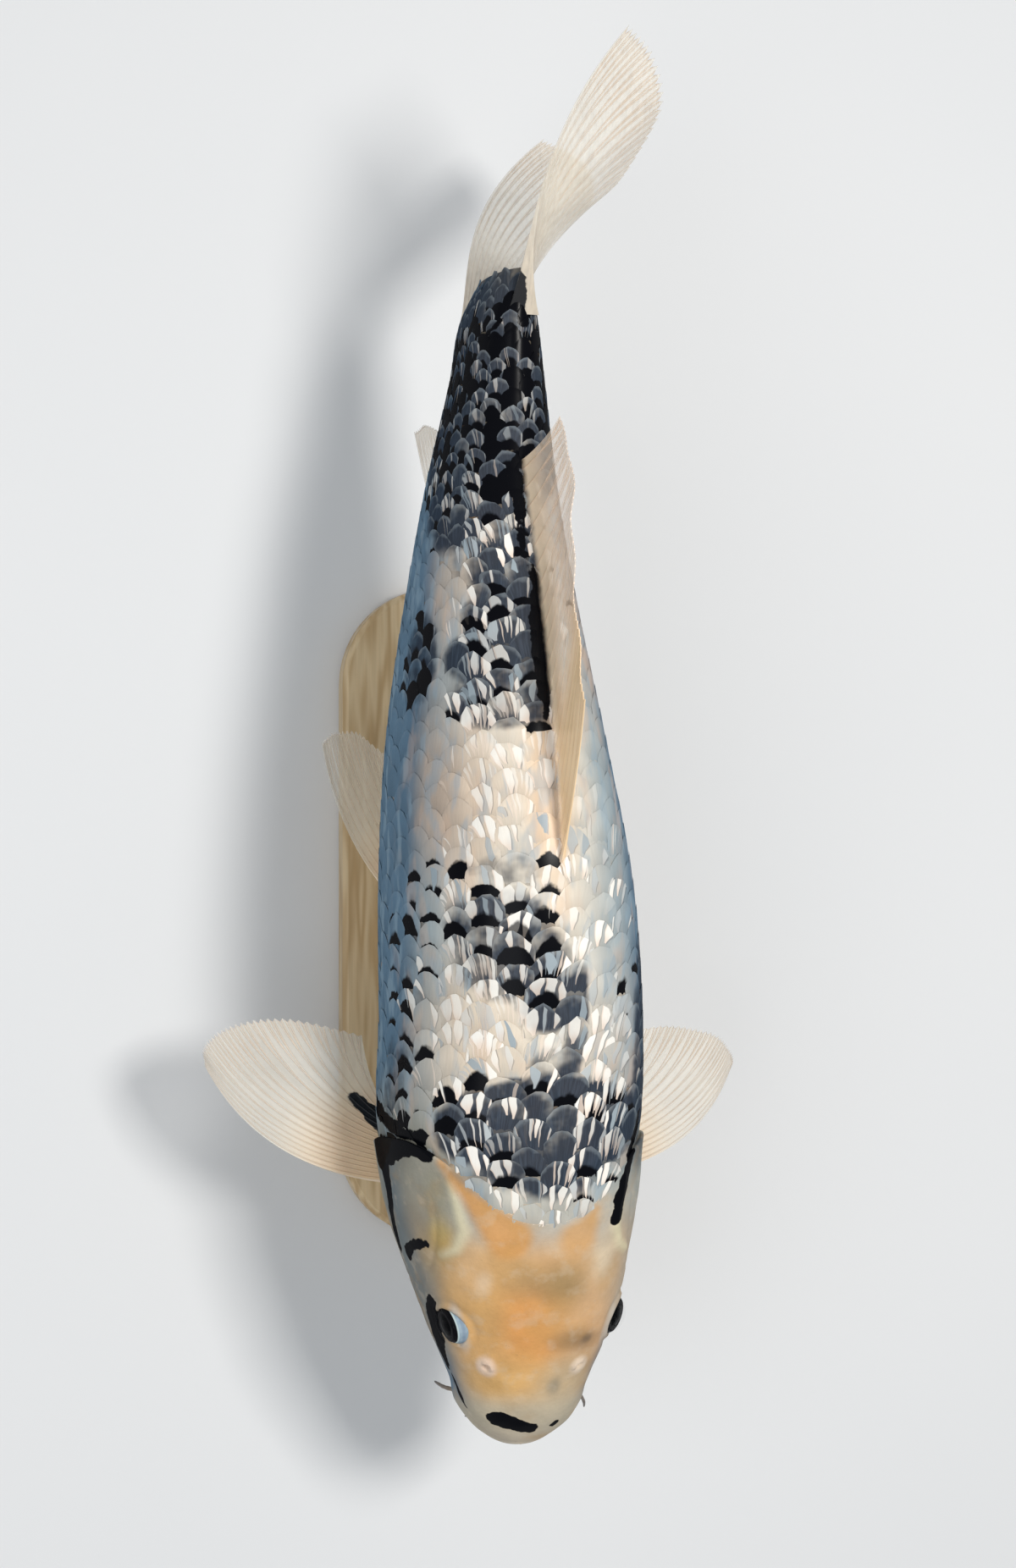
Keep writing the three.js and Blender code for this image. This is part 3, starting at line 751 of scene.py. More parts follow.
# Black caps behind the edges of single scales: at, share, and how much of the scale they fill.
CAPS = (
    (0.330, -0.114, 0.62), (0.326, -0.085, 0.66), (0.328, -0.066, 0.5), (0.305, -0.105, 0.5),
    (0.289, -0.134, 0.33), (0.282, -0.094, 0.3), (0.290, -0.066, 0.24), (0.328, -0.035, 0.3),
    (0.324, 0.015, 0.21), (0.320, 0.052, 0.58), (0.323, 0.072, 0.62), (0.324, 0.095, 0.5),
    (0.263, 0.029, 0.21), (0.246, 0.066, 0.36), (0.234, 0.06, 0.2), (0.272, -0.05, 0.27),
    (0.251, -0.02, 0.16), (0.416, -0.031, 0.45), (0.401, -0.027, 0.36), (0.345, -0.006, 0.3),
    (0.422, 0.097, 0.3), (0.399, 0.099, 0.21), (0.303, 0.116, 0.24), (0.357, -0.171, 0.33),
    (0.367, -0.200, 0.3), (0.381, -0.185, 0.22), (0.390, -0.213, 0.22), (0.396, -0.237, 0.21),
    (0.406, -0.190, 0.25), (0.420, -0.155, 0.17), (0.429, -0.197, 0.18), (0.373, -0.228, 0.24),
    (0.350, -0.205, 0.42), (0.311, -0.181, 0.18), (0.308, -0.142, 0.16), (0.293, -0.183, 0.3),
    (0.319, -0.211, 0.3), (0.340, -0.235, 0.24), (0.519, -0.152, 0.22), (0.505, -0.196, 0.27),
    (0.495, -0.170, 0.18), (0.481, -0.195, 0.25), (0.469, -0.160, 0.19), (0.463, -0.222, 0.23),
    (0.456, -0.194, 0.3), (0.445, -0.160, 0.18), (0.437, -0.217, 0.19), (0.484, -0.227, 0.16),
    (0.512, -0.108, 0.48), (0.500, -0.100, 0.42), (0.512, -0.016, 0.48), (0.500, -0.022, 0.3),
    (0.474, -0.113, 0.51), (0.469, -0.086, 0.3), (0.505, -0.086, 0.3), (0.498, -0.062, 0.3),
    (0.481, -0.051, 0.33), (0.465, -0.044, 0.48), (0.472, -0.023, 0.36), (0.455, -0.014, 0.51),
    (0.441, -0.093, 0.36), (0.440, -0.042, 0.51), (0.421, -0.035, 0.42), (0.429, -0.011, 0.42),
    (0.427, 0.085, 0.3), (0.424, 0.124, 0.42), (0.452, -0.07, 0.24), (0.846, -0.117, 0.3),
    (0.846, -0.190, 0.42), (0.824, -0.185, 0.36), (0.807, -0.046, 0.42), (0.790, -0.032, 0.3),
    (0.755, -0.064, 0.45), (0.726, -0.094, 0.51), (0.729, -0.045, 0.51), (0.702, -0.089, 0.51),
    (0.699, -0.048, 0.51), (0.667, -0.112, 0.3), (0.677, -0.025, 0.48), (0.682, -0.075, 0.36),
    (0.658, -0.232, 0.24), (0.867, -0.141, 0.48), (0.732, 0.072, 0.3), (0.835, -0.09, 0.36),
    (0.854, -0.034, 0.48), (0.847, -0.12, 0.48), (0.722, -0.244, 0.48), (0.717, -0.205, 0.48),
    (0.700, -0.257, 0.48), (0.684, -0.212, 0.36), (0.667, -0.246, 0.48), (0.700, -0.22, 0.3),
    (0.668, -0.2, 0.3), (0.642, -0.027, 0.24),
)

# Crisp black lines and blots: at, share and half-width of each of a stroke's points.
HEAD_INK: tuple[Stroke, ...] = (
    ((0.0290, -0.106, 5.2), (0.0225, -0.062, 4.6), (0.0195, -0.004, 4.3)),
    ((0.0215, 0.084, 1.7), (0.0235, 0.088, 1.6)),
    ((0.138, -0.192, 3.0), (0.122, -0.205, 7.0), (0.106, -0.22, 7.5), (0.088, -0.236, 6.5),
     (0.076, -0.246, 4.0)),
    ((0.130, 0.19, 4.0), (0.113, 0.21, 5.5), (0.1, 0.2, 3.0)),
    ((0.066, -0.232, 1.4), (0.050, -0.222, 2.2), (0.036, -0.212, 1.4)),
    ((0.1905, -0.160, 1.4), (0.190, -0.178, 2.7), (0.187, -0.200, 2.9), (0.177, -0.228, 3.2)),
    ((0.268, -0.137, 2.4), (0.2765, -0.165, 4.2), (0.277, -0.195, 8.0), (0.272, -0.24, 10.5),
     (0.266, -0.262, 10.0)),
    ((0.264, -0.247, 9.0), (0.245, -0.247, 6.5), (0.225, -0.252, 4.8), (0.203, -0.262, 4.2),
     (0.180, -0.272, 3.6)),
    ((0.264, 0.121, 2.4), (0.243, 0.110, 3.8), (0.228, 0.101, 4.4), (0.215, 0.098, 3.2)),
)
BODY_INK: tuple[Stroke, ...] = (
    ((0.283, -0.15, 2.4), (0.287, -0.2, 3.6), (0.294, -0.245, 4.0), (0.303, -0.285, 5.0)),
    ((0.300, 0.145, 3.0), (0.284, 0.138, 3.4), (0.266, 0.118, 3.0)),
    ((0.640, -0.010, 1.5), (0.668, -0.008, 3.4), (0.690, -0.006, 4.6), (0.718, -0.003, 5.4),
     (0.740, 0.001, 4.6), (0.756, 0.002, 3.0), (0.770, -0.004, 1.8)),
    ((0.780, -0.018, 1.6), (0.800, -0.015, 2.0), (0.822, -0.012, 2.8), (0.846, -0.016, 4.0)),
    ((0.856, -0.02, 3.0), (0.872, 0.02, 4.0)),
    ((0.985, 0.01, 3.2), (1.0, 0.012, 4.2), (1.012, 0.01, 2.6)),
    ((0.985, -0.05, 1.4), (0.970, -0.11, 1.4)),
)


Marks = tuple[Patch | Streak, ...]


class Markings:
    """The fish's colours, the same for its skin and for its scales.

    Attributes:
        lean: how far the bands of ground colour are turned to the fish's right, as a share of the
            girth.
        dark_from: shares of the length between which the skin begins to show the scales' shade.
    """

    lean: float = 0.04
    dark_from: tuple[float, float] = (0.235, 0.26)

    def __init__(self, body: Body) -> None:
        """Keeps the body that the marks lie on."""
        self.body = body

    def tint(self, at: Array, share: Array, marks: Marks = TINTS + STREAKS) -> Array:
        """The soft ground colour: the bands round the body, then each mark in its order.

        Args:
            at: share of the length.
            share: share of the girth.
            marks: the patches and streaks that are laid over it.

        Returns:
            Scene-linear RGBA colours, shaped (..., 4).
        """
        away = np.abs((share + self.lean + 0.5) % 1 - 0.5)[..., None]
        colour = linear(BACK)
        for band, low, high in BANDS:
            colour = lerp(colour, linear(band), ease(low, high, away))
        for mark in marks:
            colour = lerp(colour, linear(mark.colour), mark.weight(self.body, at, share)[..., None])
        places = self.body.point(at, share)
        cloud = 1 + 0.035 * ripple(places, 40, 21) + 0.03 * ripple(places, 14, 22)
        return np.concatenate([colour * cloud[..., None], np.ones_like(away)], -1)

    def skin_tint(self, at: Array, share: Array) -> Array:
        """The ground colour of the skin itself: the same, and dark where the scales over it are dark."""
        colour = self.tint(at, share)
        shade = self.most(SHADES, at, share) * ease(*self.dark_from, at)
        night = self.most(NIGHT, at, share)
        colour[..., :3] = lerp(colour[..., :3], linear(SLATE), 0.9 * shade[..., None])
        colour[..., :3] = lerp(colour[..., :3], linear(SUMI), night[..., None])
        return colour

    def most(self, patches: tuple[Patch, ...], at: Array, share: Array) -> Array:
        """The greatest weight of any of the patches."""
        return np.max([patch.weight(self.body, at, share) for patch in patches], 0)

    def ink(self, strokes: tuple[Stroke, ...], points: Array) -> Array:
        """How deep each point is inside any of the black strokes, above 0 in the black."""
        return np.max([inside_stroke(self.body, stroke, points) for stroke in strokes], 0)


# ---------------------------------------------------------------- finishes


class Value:
    """What a node gives, with the usual signs of arithmetic, each of which adds a Math node."""

    def __init__(self, recipe: "Recipe", socket: bpy.types.NodeSocket) -> None:
        """Keeps the socket and the recipe that it belongs to."""
        self.recipe = recipe
        self.socket = socket

    def __add__(self, other: "Amount") -> "Value":
        """The sum."""
        return self.recipe.math("ADD", self, other)

    def __sub__(self, other: "Amount") -> "Value":
        """The difference."""
        return self.recipe.math("SUBTRACT", self, other)

    def __rsub__(self, other: "Amount") -> "Value":
        """What is left of a number once this is taken off it."""
        return self.recipe.math("SUBTRACT", other, self)

    def __mul__(self, other: "Amount") -> "Value":
        """The product."""
        return self.recipe.math("MULTIPLY", self, other)

    def __truediv__(self, other: "Amount") -> "Value":
        """The quotient."""
        return self.recipe.math("DIVIDE", self, other)

    def __abs__(self) -> "Value":
        """The amount without its sign."""
        return self.recipe.math("ABSOLUTE", self)

    def most(self, other: "Amount") -> "Value":
        """The greater of the two."""
        return self.recipe.math("MAXIMUM", self, other)


Amount = Value | float
Paint = Value | Colour | Array


class Recipe:
    """A material in the making: short names for the nodes that a finish is built of.

    A colour is a node's value, a display colour as three numbers of 0 to 255, or an array of
    scene-linear light.
    """

    def __init__(self, name: str) -> None:
        """Starts a material with a Principled shader."""
        self.material = bpy.data.materials.new(name)
        self.material.use_nodes = True
        self.tree = self.material.node_tree
        self.tree.nodes.clear()
        output = self.tree.nodes.new("ShaderNodeOutputMaterial")
        self.shader = self.tree.nodes.new("ShaderNodeBsdfPrincipled")
        self.tree.links.new(self.shader.outputs[0], output.inputs[0])

    def put(self, socket: bpy.types.NodeSocket, value: Paint | Amount) -> None:
        """Links a socket to value, or sets it where value is a number or a colour."""
        if isinstance(value, Value):
            self.tree.links.new(value.socket, socket)
        elif socket.type == "RGBA":
            light = value if isinstance(value, np.ndarray) else linear(value)
            socket.default_value = (*light, 1.0)
        else:
            socket.default_value = value

    def node(self, kind: str, *values: Paint | Amount, **settings: object) -> bpy.types.Node:
        """A new node with its settings, and values put on its first sockets in order."""
        node = self.tree.nodes.new("ShaderNode" + kind)
        for title, setting in settings.items():
            setattr(node, title, setting)
        for socket, value in zip(node.inputs, values):
            self.put(socket, value)
        return node

    def set(self, **sockets: Paint | Amount) -> None:
        """Puts values on the shader's sockets: an underscore in a name stands for a space."""
        for title, value in sockets.items():
            self.put(self.shader.inputs[title.replace("_", " ")], value)

    def math(self, operation: str, *values: Amount) -> Value:
        """The result of a Math node."""
        return Value(self, self.node("Math", *values, operation=operation).outputs[0])

    def mix(self, share: Amount, first: Paint, second: Paint) -> Value:
        """The colour that lies share of the way from first to second."""
        node = self.node("Mix", share, data_type="RGBA")
        low, high = (s for s in node.inputs if s.type == "RGBA")
        self.put(low, first)
        self.put(high, second)
        return Value(self, next(s for s in node.outputs if s.type == "RGBA"))

    def shaded(self, colour: Value, factor: Amount) -> Value:
        """A colour times a number."""
        node = self.node("VectorMath", colour, operation="SCALE")
        self.put(node.inputs["Scale"], factor)
        return Value(self, node.outputs[0])

    def attribute(self, name: str, output: str = "Fac") -> Value:
        """A named attribute of the mesh."""
        return Value(self, self.node("Attribute", attribute_name=name).outputs[output])

    def split(self, vector: Value) -> tuple[Value, ...]:
        """A vector's three numbers."""
        return tuple(Value(self, socket) for socket in self.node("SeparateXYZ", vector).outputs)

    def join(self, x: Amount, y: Amount, z: Amount = 0.0) -> Value:
        """A vector of three numbers."""
        return Value(self, self.node("CombineXYZ", x, y, z).outputs[0])

    def lie(self) -> tuple[Value, Value]:
        """The two numbers of the map named lie."""
        place = Value(self, self.node("UVMap", uv_map="lie").outputs[0])
        return self.split(place)[:2]

    def object_place(self) -> Value:
        """The place in the object, in metres."""
        return Value(self, self.node("TexCoord").outputs["Object"])

    def noise(self, place: Value, scale: float, detail: float = 2.0) -> Value:
        """Smooth noise of 0 to 1."""
        node = self.node("TexNoise", place)
        node.inputs["Scale"].default_value = scale
        node.inputs["Detail"].default_value = detail
        return Value(self, node.outputs["Fac"])

    def chance(self, *numbers: Amount) -> tuple[Value, ...]:
        """Three random numbers for each different place."""
        node = self.node("TexWhiteNoise", self.join(*numbers))
        return self.split(Value(self, node.outputs["Color"]))

    def step(self, value: Amount, low: Amount, high: Amount) -> Value:
        """A smooth step from 0 at low to 1 at high."""
        node = self.node("MapRange", value, low, high, interpolation_type="SMOOTHSTEP")
        return Value(self, node.outputs["Result"])

    def bump(self, height: Value, distance: float, strength: float = 1.0) -> None:
        """Gives the shader a bumpy normal, with heights times distance in metres."""
        node = self.node("Bump")
        self.put(node.inputs["Height"], height)
        node.inputs["Distance"].default_value = distance
        node.inputs["Strength"].default_value = strength
        self.tree.links.new(node.outputs[0], self.shader.inputs["Normal"])

    def ink(self, raggedness: float) -> Value:
        """A crisp mask where the ink attribute, with ragged edges added, is above 0."""
        coarse = self.noise(self.object_place(), 160, 3) - 0.5
        return self.step(coarse * raggedness + self.attribute("ink"), -0.25, 0.3)


class Finish:
    """A named material whose nodes are laid one on another."""

    name: str

    def lay(self, recipe: Recipe) -> None:
        """Adds the finish's own nodes."""
        raise NotImplementedError

    def make(self) -> Material:
        """Builds the material."""
        recipe = Recipe(self.name)
        self.lay(recipe)
        return recipe.material


@dataclass(frozen=True)
class SkinFinish(Finish):
    """Smooth wet skin: soft tints, crisp black, fine pores.

    Each mottling is the scale of its noise, its weight and its colour.
    """

    name: str = "wet skin"
    pores: float = 1400
    roughness: float = 0.22
    mottles: tuple[tuple[float, float, Colour], ...] = (
        (48, 0.3, (190, 148, 88)), (130, 0.24, (216, 200, 176)),
    )
    freckle: Colour = (104, 92, 70)

    def lay(self, recipe: Recipe) -> None:
        """Lays the mottled ground, the freckles and the black."""
        place = recipe.object_place()
        cloud = recipe.noise(place, 90, 3)
        fine = recipe.noise(place, 420, 2)
        level = fine * 0.12 + (cloud * 0.2 + 0.84)
        ground = recipe.shaded(recipe.attribute("tint", "Color"), level)
        for scale, weight, colour in self.mottles:
            mottle = recipe.step(recipe.noise(place, scale, 4), 0.5, 0.72)
            ground = recipe.mix(mottle * weight, ground, colour)
        freckle = recipe.step(recipe.noise(place, 900, 1), 0.70, 0.78) * recipe.step(cloud, 0.45, 0.75)
        ground = recipe.mix(freckle * 0.35, ground, self.freckle)
        recipe.set(
            Base_Color=recipe.mix(recipe.ink(5.0), ground, SUMI),
            Roughness=fine * 0.16 + self.roughness,
            Specular_IOR_Level=0.0,
            Coat_Weight=0.06,
            Coat_Roughness=0.12,
            Coat_IOR=2.0,
        )
        recipe.bump(recipe.noise(place, self.pores) * 0.35 + fine, 0.00035, 0.6)


class ScaleRecipe(Recipe):
    """A scale's material in the making, with what the mesh tells of each point.

    The map named lie holds how far across a scale the point lies, from -1 to 1, and how far behind
    the edge of the scale before it, from 0 to 1 at its own edge. The attribute named make holds
    each scale's black cap, shade, glitter and seed.
    """

    def __init__(self, name: str) -> None:
        """Reads the map and the attribute, and lays the growth lines and the clouds."""
        super().__init__(name)
        self.place = self.object_place()
        self.across, self.behind = self.lie()
        self.cap, self.shade, self.glint = self.split(self.attribute("make", "Color"))
        self.seed = self.math("SNAP", self.attribute("make", "Alpha"), 1 / SEEDS)
        self.tilt, self.narrow, self.dim = self.chance(self.seed * 71.0, 5.0)
        self.fan = self.across / (self.behind * 0.36 + 0.64)
        self.lines = self.noise(self.join(self.fan * 9.0, self.behind, self.seed * 57.0), 1.0)
        self.cloud = self.noise(self.place, 120)

    def ground(self) -> Value:
        """The tint with fine growth lines and long blue and pink clouds, duller at the root."""
        x, y, z = self.split(self.place)
        long = self.join(x, y * 0.4, z)
        blue = self.step(self.noise(long, 130), 0.5, 0.68)
        pink = self.step(self.noise(long, 95), 0.52, 0.7)
        level = self.cloud * 0.08 + (self.lines * 0.16 + 0.88)
        # Darker at the root, behind the edge before: partly the scales' dark edging, partly painted
        # shade.
        front = self.step(self.behind, -0.1, 0.7) * 0.14 + 0.87
        ground = self.shaded(self.attribute("tint", "Color"), level * front)
        ground = self.mix(blue * 0.42, ground, (150, 174, 190))
        upper = self.step(z, 0.148, 0.168) * 0.26
        return self.mix(pink * upper, ground, (228, 192, 162))

    def deepened(self, ground: Value) -> Value:
        """The ground under cloudy deep shade, and pale along the free edge: haze, partly painted
        highlight.
        """
        depth = self.cloud * 0.8 + self.behind * -0.2
        depth = self.step(depth + (self.shade * 1.3 - 0.9), -0.1, 0.6)
        deep = self.mix(self.step(self.lines, 0.4, 0.75), SLATE, (52, 64, 80))
        ground = self.mix(depth * 0.96, ground, deep)
        # Pale free edge: partly milky skin, partly a painted highlight where the rim catches the light.
        veil_and_rim_highlight = self.noise(self.place, 260) * 0.5 + (self.behind * 1.4 - 1.35)
        veil_and_rim_highlight = self.step(veil_and_rim_highlight, 0.0, 0.3) * (depth * 0.2 + 0.06)
        return self.mix(veil_and_rim_highlight, ground, (168, 178, 184))

    def capped(self) -> Value:
        """The mask of the black cap: it reaches back by the cap's size times a tilted bow."""
        bow = self.across * self.across * -1.0 * (self.narrow * 0.55 + 0.3)
        bow = (self.tilt * 0.9 - 0.45) * self.across + bow
        ragged = self.noise(self.place, 240, 3) * 0.34 - 0.17
        gap = self.cap * (bow + 1.0) + ragged - self.behind
        return self.step(gap, self.narrow * -0.16 - 0.02, 0.03) * self.step(self.cap, 0.02, 0.1)

    def painted_glints(self, fan: Value, count: float, salt: float) -> tuple[Value, ...]:
        """Painted glints: bright blades that fan out from a scale's root, each in a slot of its own.

        A blade is narrow in front, full behind and cut off at a slant.

        Args:
            fan: the angle across the scale, about -1 to 1.
            count: slots for each unit of fan.
            salt: which set of random numbers.

        Returns:
            The mask of the blades, how warm they are, how much they gleam, and the mask of the dark
            line beside each, a painted shadow.
        """
        place = fan * count + (self.seed * 31.0 + salt)
        number, chosen = self.math("FLOOR", place), self.seed * 97.0
        present, start, wide = self.chance(number, chosen, salt)
        shift, slant, gleam = self.chance(number, chosen, salt + 50)
        half = wide * 0.34 + (self.glint * 0.12 + 0.05)
        middle = (shift - 0.5) * (half * -2.0 + 1.0)
        beside = self.math("FRACT", place) - 0.5 - middle
        start = start * 0.5 - 0.15
        width = half * (self.step(self.behind, start, start + 0.5) * 0.65 + 0.35)
        blade = self.step(width - abs(beside), -0.01, 0.03)
        began = self.step(self.behind, start, start + 0.05)
        end = gleam * 0.32 + 0.86 + (slant * 3.2 - 1.6) * beside
        ended = self.step(self.behind, end, end - 0.04)
        shown = self.step(self.glint - present, 0.0, 0.04) * (began * ended)
        # Painted shadow: a thin dark line just outside one side of each blade.
        beyond = beside - width
        line = self.step(beyond, -0.02, 0.02) * self.step(beyond, 0.13, 0.04)
        warm = self.step(self.behind, start + 0.6, start) * 0.6
        warm = warm.most(self.step(beside / width, -0.6, -0.95) * 0.6)
        return blade * shown, warm, self.step(gleam, 0.0, 0.5), line * shown

    def glitter(self, ground: Value, capped: Value, inked: Value) -> tuple[Value, Value]:
        """Bright blades of painted glint, broad and fine, over all but the black.

        Args:
            ground: the colour so far.
            capped: the mask of the black cap, which some scales' blades cross.
            inked: the mask of the black places, which none cross.

        Returns:
            The mask of the blades, and the colour with them.
        """
        bent = self.noise(self.place, 130, 1) * 0.3 - 0.15
        leaning = self.attribute("lean") * (self.behind * -1.0) + self.fan + bent
        broad, warm, gleam, line = self.painted_glints(leaning, 1.3, 3.0)
        fine = self.painted_glints(leaning, 3.6, 11.0)[0] * self.step(self.seed, 0.58, 0.6)
        inside = self.step(abs(self.across), 0.99, 0.9) * self.step(self.glint, 0.1, 0.3)
        hidden = (capped * self.step(self.dim, 0.78, 0.74)).most(inked)
        free = inside * (1.0 - hidden)
        painted_glint = broad.most(fine * 0.65) * free
        # Painted shadow beside each blade darkens the ground.
        ground = self.mix(line * free * 0.5, ground, (108, 110, 116))
        # Painted glint colour: white, warmer at the root and one side, some greyer, dimmer in the night.
        bright = self.mix(warm * 0.7, GLEAM, (232, 184, 146))
        bright = self.mix(gleam, (158, 172, 180), bright)
        strength = (self.dim * 0.42 + 0.6) * (self.attribute("night") * -0.6 + 1.0)
        return painted_glint, self.mix(painted_glint * strength, ground, bright)


@dataclass(frozen=True)
class ScaleFinish:
    """Glittering scales: a fan of painted glints on each, deep bluish shade, and black caps."""

    name: str = "glittering scales"

    def make(self) -> Material:
        """Builds the material from its layers, the ground first and the blades last."""
        recipe = ScaleRecipe(self.name)
        capped, inked = recipe.capped(), recipe.ink(6.0)
        ground = recipe.deepened(recipe.ground())
        ground = recipe.mix(capped.most(inked), ground, SUMI)
        painted_glint, colour = recipe.glitter(ground, capped, inked)
        recipe.set(
            Base_Color=colour,
            Roughness=painted_glint * -0.12 + 0.38,
            Specular_IOR_Level=0.0,
            Coat_Weight=0.06,
            Coat_Roughness=0.24,
            Coat_IOR=2.0,
        )
        recipe.bump(painted_glint * 0.5 + recipe.lines, 0.0003, 0.4)
        return recipe.material


@dataclass(frozen=True)
class FinFinish(Finish):
    """A thin clear fin with branching rays. The map named lie holds ray number and reach.

    Attributes:
        root, web: the web's colour at the root and further out.
        ray: the colour of the rays.
        clear: how solid the web is far out.
        glow, glow_rays: the colour of the first rays' web, partly the fin's own peach and partly
        painted glow of light through the thin fin, and how many have it.
        soft_root: the reach at which a root that starts clear is solid, or 0.
        grain: how strong the long threads in the web are.
        branch_at, twig_at: the reaches at which the rays fork.
    """

    name: str
    root: Colour = (244, 212, 172)
    web: Colour = (242, 234, 218)
    ray: Colour = (196, 152, 116)
    clear: float = 0.36
    glow: Colour = (255, 206, 150)
    glow_rays: float = 0.0
    soft_root: float = 0.0
    grain: float = 0.0
    branch_at: float = 0.42
    twig_at: float = 0.72

    def lay(self, recipe: Recipe) -> None:
        """Lays the colour from root to edge, with a line on each ray and branch."""
        number, reach = recipe.lie()
        away = abs(recipe.math("FRACT", number) - 0.5)
        away = abs(away - recipe.step(reach, self.branch_at, 1.05) * 0.25)
        away = abs(away - recipe.step(reach, self.twig_at, 1.1) * 0.125)
        line = recipe.step(away, 0.075, 0.02)
        joint = recipe.math("SINE", reach * 260.0) * 0.12 + 0.88
        place = recipe.object_place()
        cloud = recipe.noise(place, 60, 3)
        fade = recipe.step(reach, 0.05, 0.6)
        glow = recipe.step(number, self.glow_rays, 0.4 * self.glow_rays - 0.01)
        web = recipe.mix(fade, self.root, self.web)
        web = recipe.mix(glow * 0.85, web, self.glow)
        x, y, z = recipe.split(place)
        thread = recipe.noise(recipe.join(x, y * 0.12, z * 0.4), 900)
        level = cloud * 0.2 + (0.9 - self.grain / 2)
        web = recipe.shaded(web, thread * self.grain + level)
        ground = recipe.mix(line * (joint * 0.42), web, self.ray)
        ink = recipe.ink(5.0)
        thick = 1.0 - fade * (1 - self.clear)
        alpha = thick.most(glow * 0.9).most(line * 0.75).most(ink * 0.95)
        if self.soft_root:
            ragged = recipe.noise(place, 180, 3) * 0.08 + reach
            alpha = alpha * recipe.step(ragged, 0.12, self.soft_root)
        recipe.set(
            Base_Color=recipe.mix(ink, ground, SUMI),
            Roughness=cloud * 0.1 + 0.32,
            Alpha=alpha,
            Subsurface_Weight=0.25,
            Subsurface_Radius=(1.0, 0.9, 0.8),
            Subsurface_Scale=0.002,
            Coat_Weight=0.1,
            Coat_Roughness=0.2,
        )
        recipe.bump(line, 0.0003, 0.5)


@dataclass(frozen=True)
class EyeFinish(Finish):
    """The eyeball: a black pupil in a dark iris, a fine pale ring, and a bluish white ball.

    The first number of the map named lie is degrees from the pupil's middle. So are pupil and ring,
    where they begin or end, and dusk, between which the white is dusky, with soft edges.
    """

    name: str = "eyeball"
    pupil: float = 38
    ring: float = 56
    dusk: tuple[float, float, float, float] = (66, 70, 73, 80)

    def lay(self, recipe: Recipe) -> None:
        """Lays pupil, iris, ring and ball from the middle outward."""
        away, around = recipe.lie()
        fibres = recipe.noise(recipe.join(around * 14.0, away * 0.04), 3.0, 3)
        cloud = recipe.noise(recipe.object_place(), 450, 3)
        ball = recipe.mix(cloud, (122, 148, 166), (178, 194, 204))
        dusk = recipe.step(away, *self.dusk[:2]) * recipe.step(away, *self.dusk[:1:-1])
        ball = recipe.mix(dusk * 0.35, ball, (104, 120, 150))
        colour = recipe.mix(fibres, (8, 8, 11), (24, 22, 25))
        colour = recipe.mix(recipe.step(away, self.pupil, self.pupil + 1.5), (4, 4, 6), colour)
        colour = recipe.mix(recipe.step(away, self.ring, self.ring + 1), colour, (196, 212, 212))
        colour = recipe.mix(recipe.step(away, self.ring + 3, self.ring + 6), colour, ball)
        recipe.set(Base_Color=colour, Roughness=cloud * 0.1 + 0.3, Specular_IOR_Level=0.02)


@dataclass(frozen=True)
class ClearFinish(Finish):
    """The clear cornea over the eye."""

    name: str = "cornea"

    def lay(self, recipe: Recipe) -> None:
        """Lays a slight haze."""
        haze = recipe.noise(recipe.object_place(), 300, 1)
        recipe.set(
            Base_Color=(40, 44, 50),
            Roughness=haze * 0.03 + 0.03,
            Alpha=haze * 0.006 + 0.01,
            Coat_Weight=0.12,
            Coat_Roughness=0.03,
        )


@dataclass(frozen=True)
class BarbelFinish(Finish):
    """Soft brown feelers, darker and greyer towards the tip."""

    name: str = "barbel skin"
    root: Colour = (170, 150, 128)
    tip: Colour = (74, 68, 66)

    def lay(self, recipe: Recipe) -> None:
        """Lays the colour from root to tip."""
        cloud = recipe.noise(recipe.object_place(), 500)
        ground = recipe.mix(recipe.attribute("tip"), self.root, self.tip)
        recipe.set(
            Base_Color=recipe.shaded(ground, cloud * 0.4 + 0.75),
            Roughness=0.35,
            Coat_Weight=0.3,
            Coat_Roughness=0.15,
        )
        recipe.bump(cloud, 0.0003, 0.5)


@dataclass(frozen=True)
class WoodFinish(Finish):
    """Pale satin wood with its grain along the board."""

    name: str = "pale wood"
    early: Colour = (216, 192, 152)
    late: Colour = (190, 160, 116)

    def lay(self, recipe: Recipe) -> None:
        """Lays rings of noise drawn out along y, with fine pores."""
        x, y, z = recipe.split(recipe.object_place())
        grain = recipe.noise(recipe.join(x, y * 0.09, z), 46, 3)
        rings = recipe.math("SINE", grain * 60.0) * 0.5 + 0.5
        pores = recipe.noise(recipe.join(x, y * 0.03, z), 900)
        ground = recipe.mix(rings, self.early, self.late)
        recipe.set(
            Base_Color=recipe.shaded(ground, pores * 0.24 + 0.88),
            Roughness=pores * 0.2 + 0.38,
            Coat_Weight=0.15,
            Coat_Roughness=0.3,
        )
        recipe.bump(pores, 0.0002, 0.4)


@dataclass(frozen=True)
class SteelFinish(Finish):
    """Brushed stainless steel."""

    name: str = "brushed steel"

    def lay(self, recipe: Recipe) -> None:
        """Lays fine brushing round the rod."""
        x, y, z = recipe.split(recipe.object_place())
        brushed = recipe.noise(recipe.join(x, y, z * 30.0), 60, 3)
        recipe.set(
            Base_Color=recipe.mix(brushed, (168, 170, 172), (205, 206, 208)),
            Roughness=brushed * 0.16 + 0.24,
            Metallic=1.0,
        )
        recipe.bump(brushed, 0.0001, 0.3)


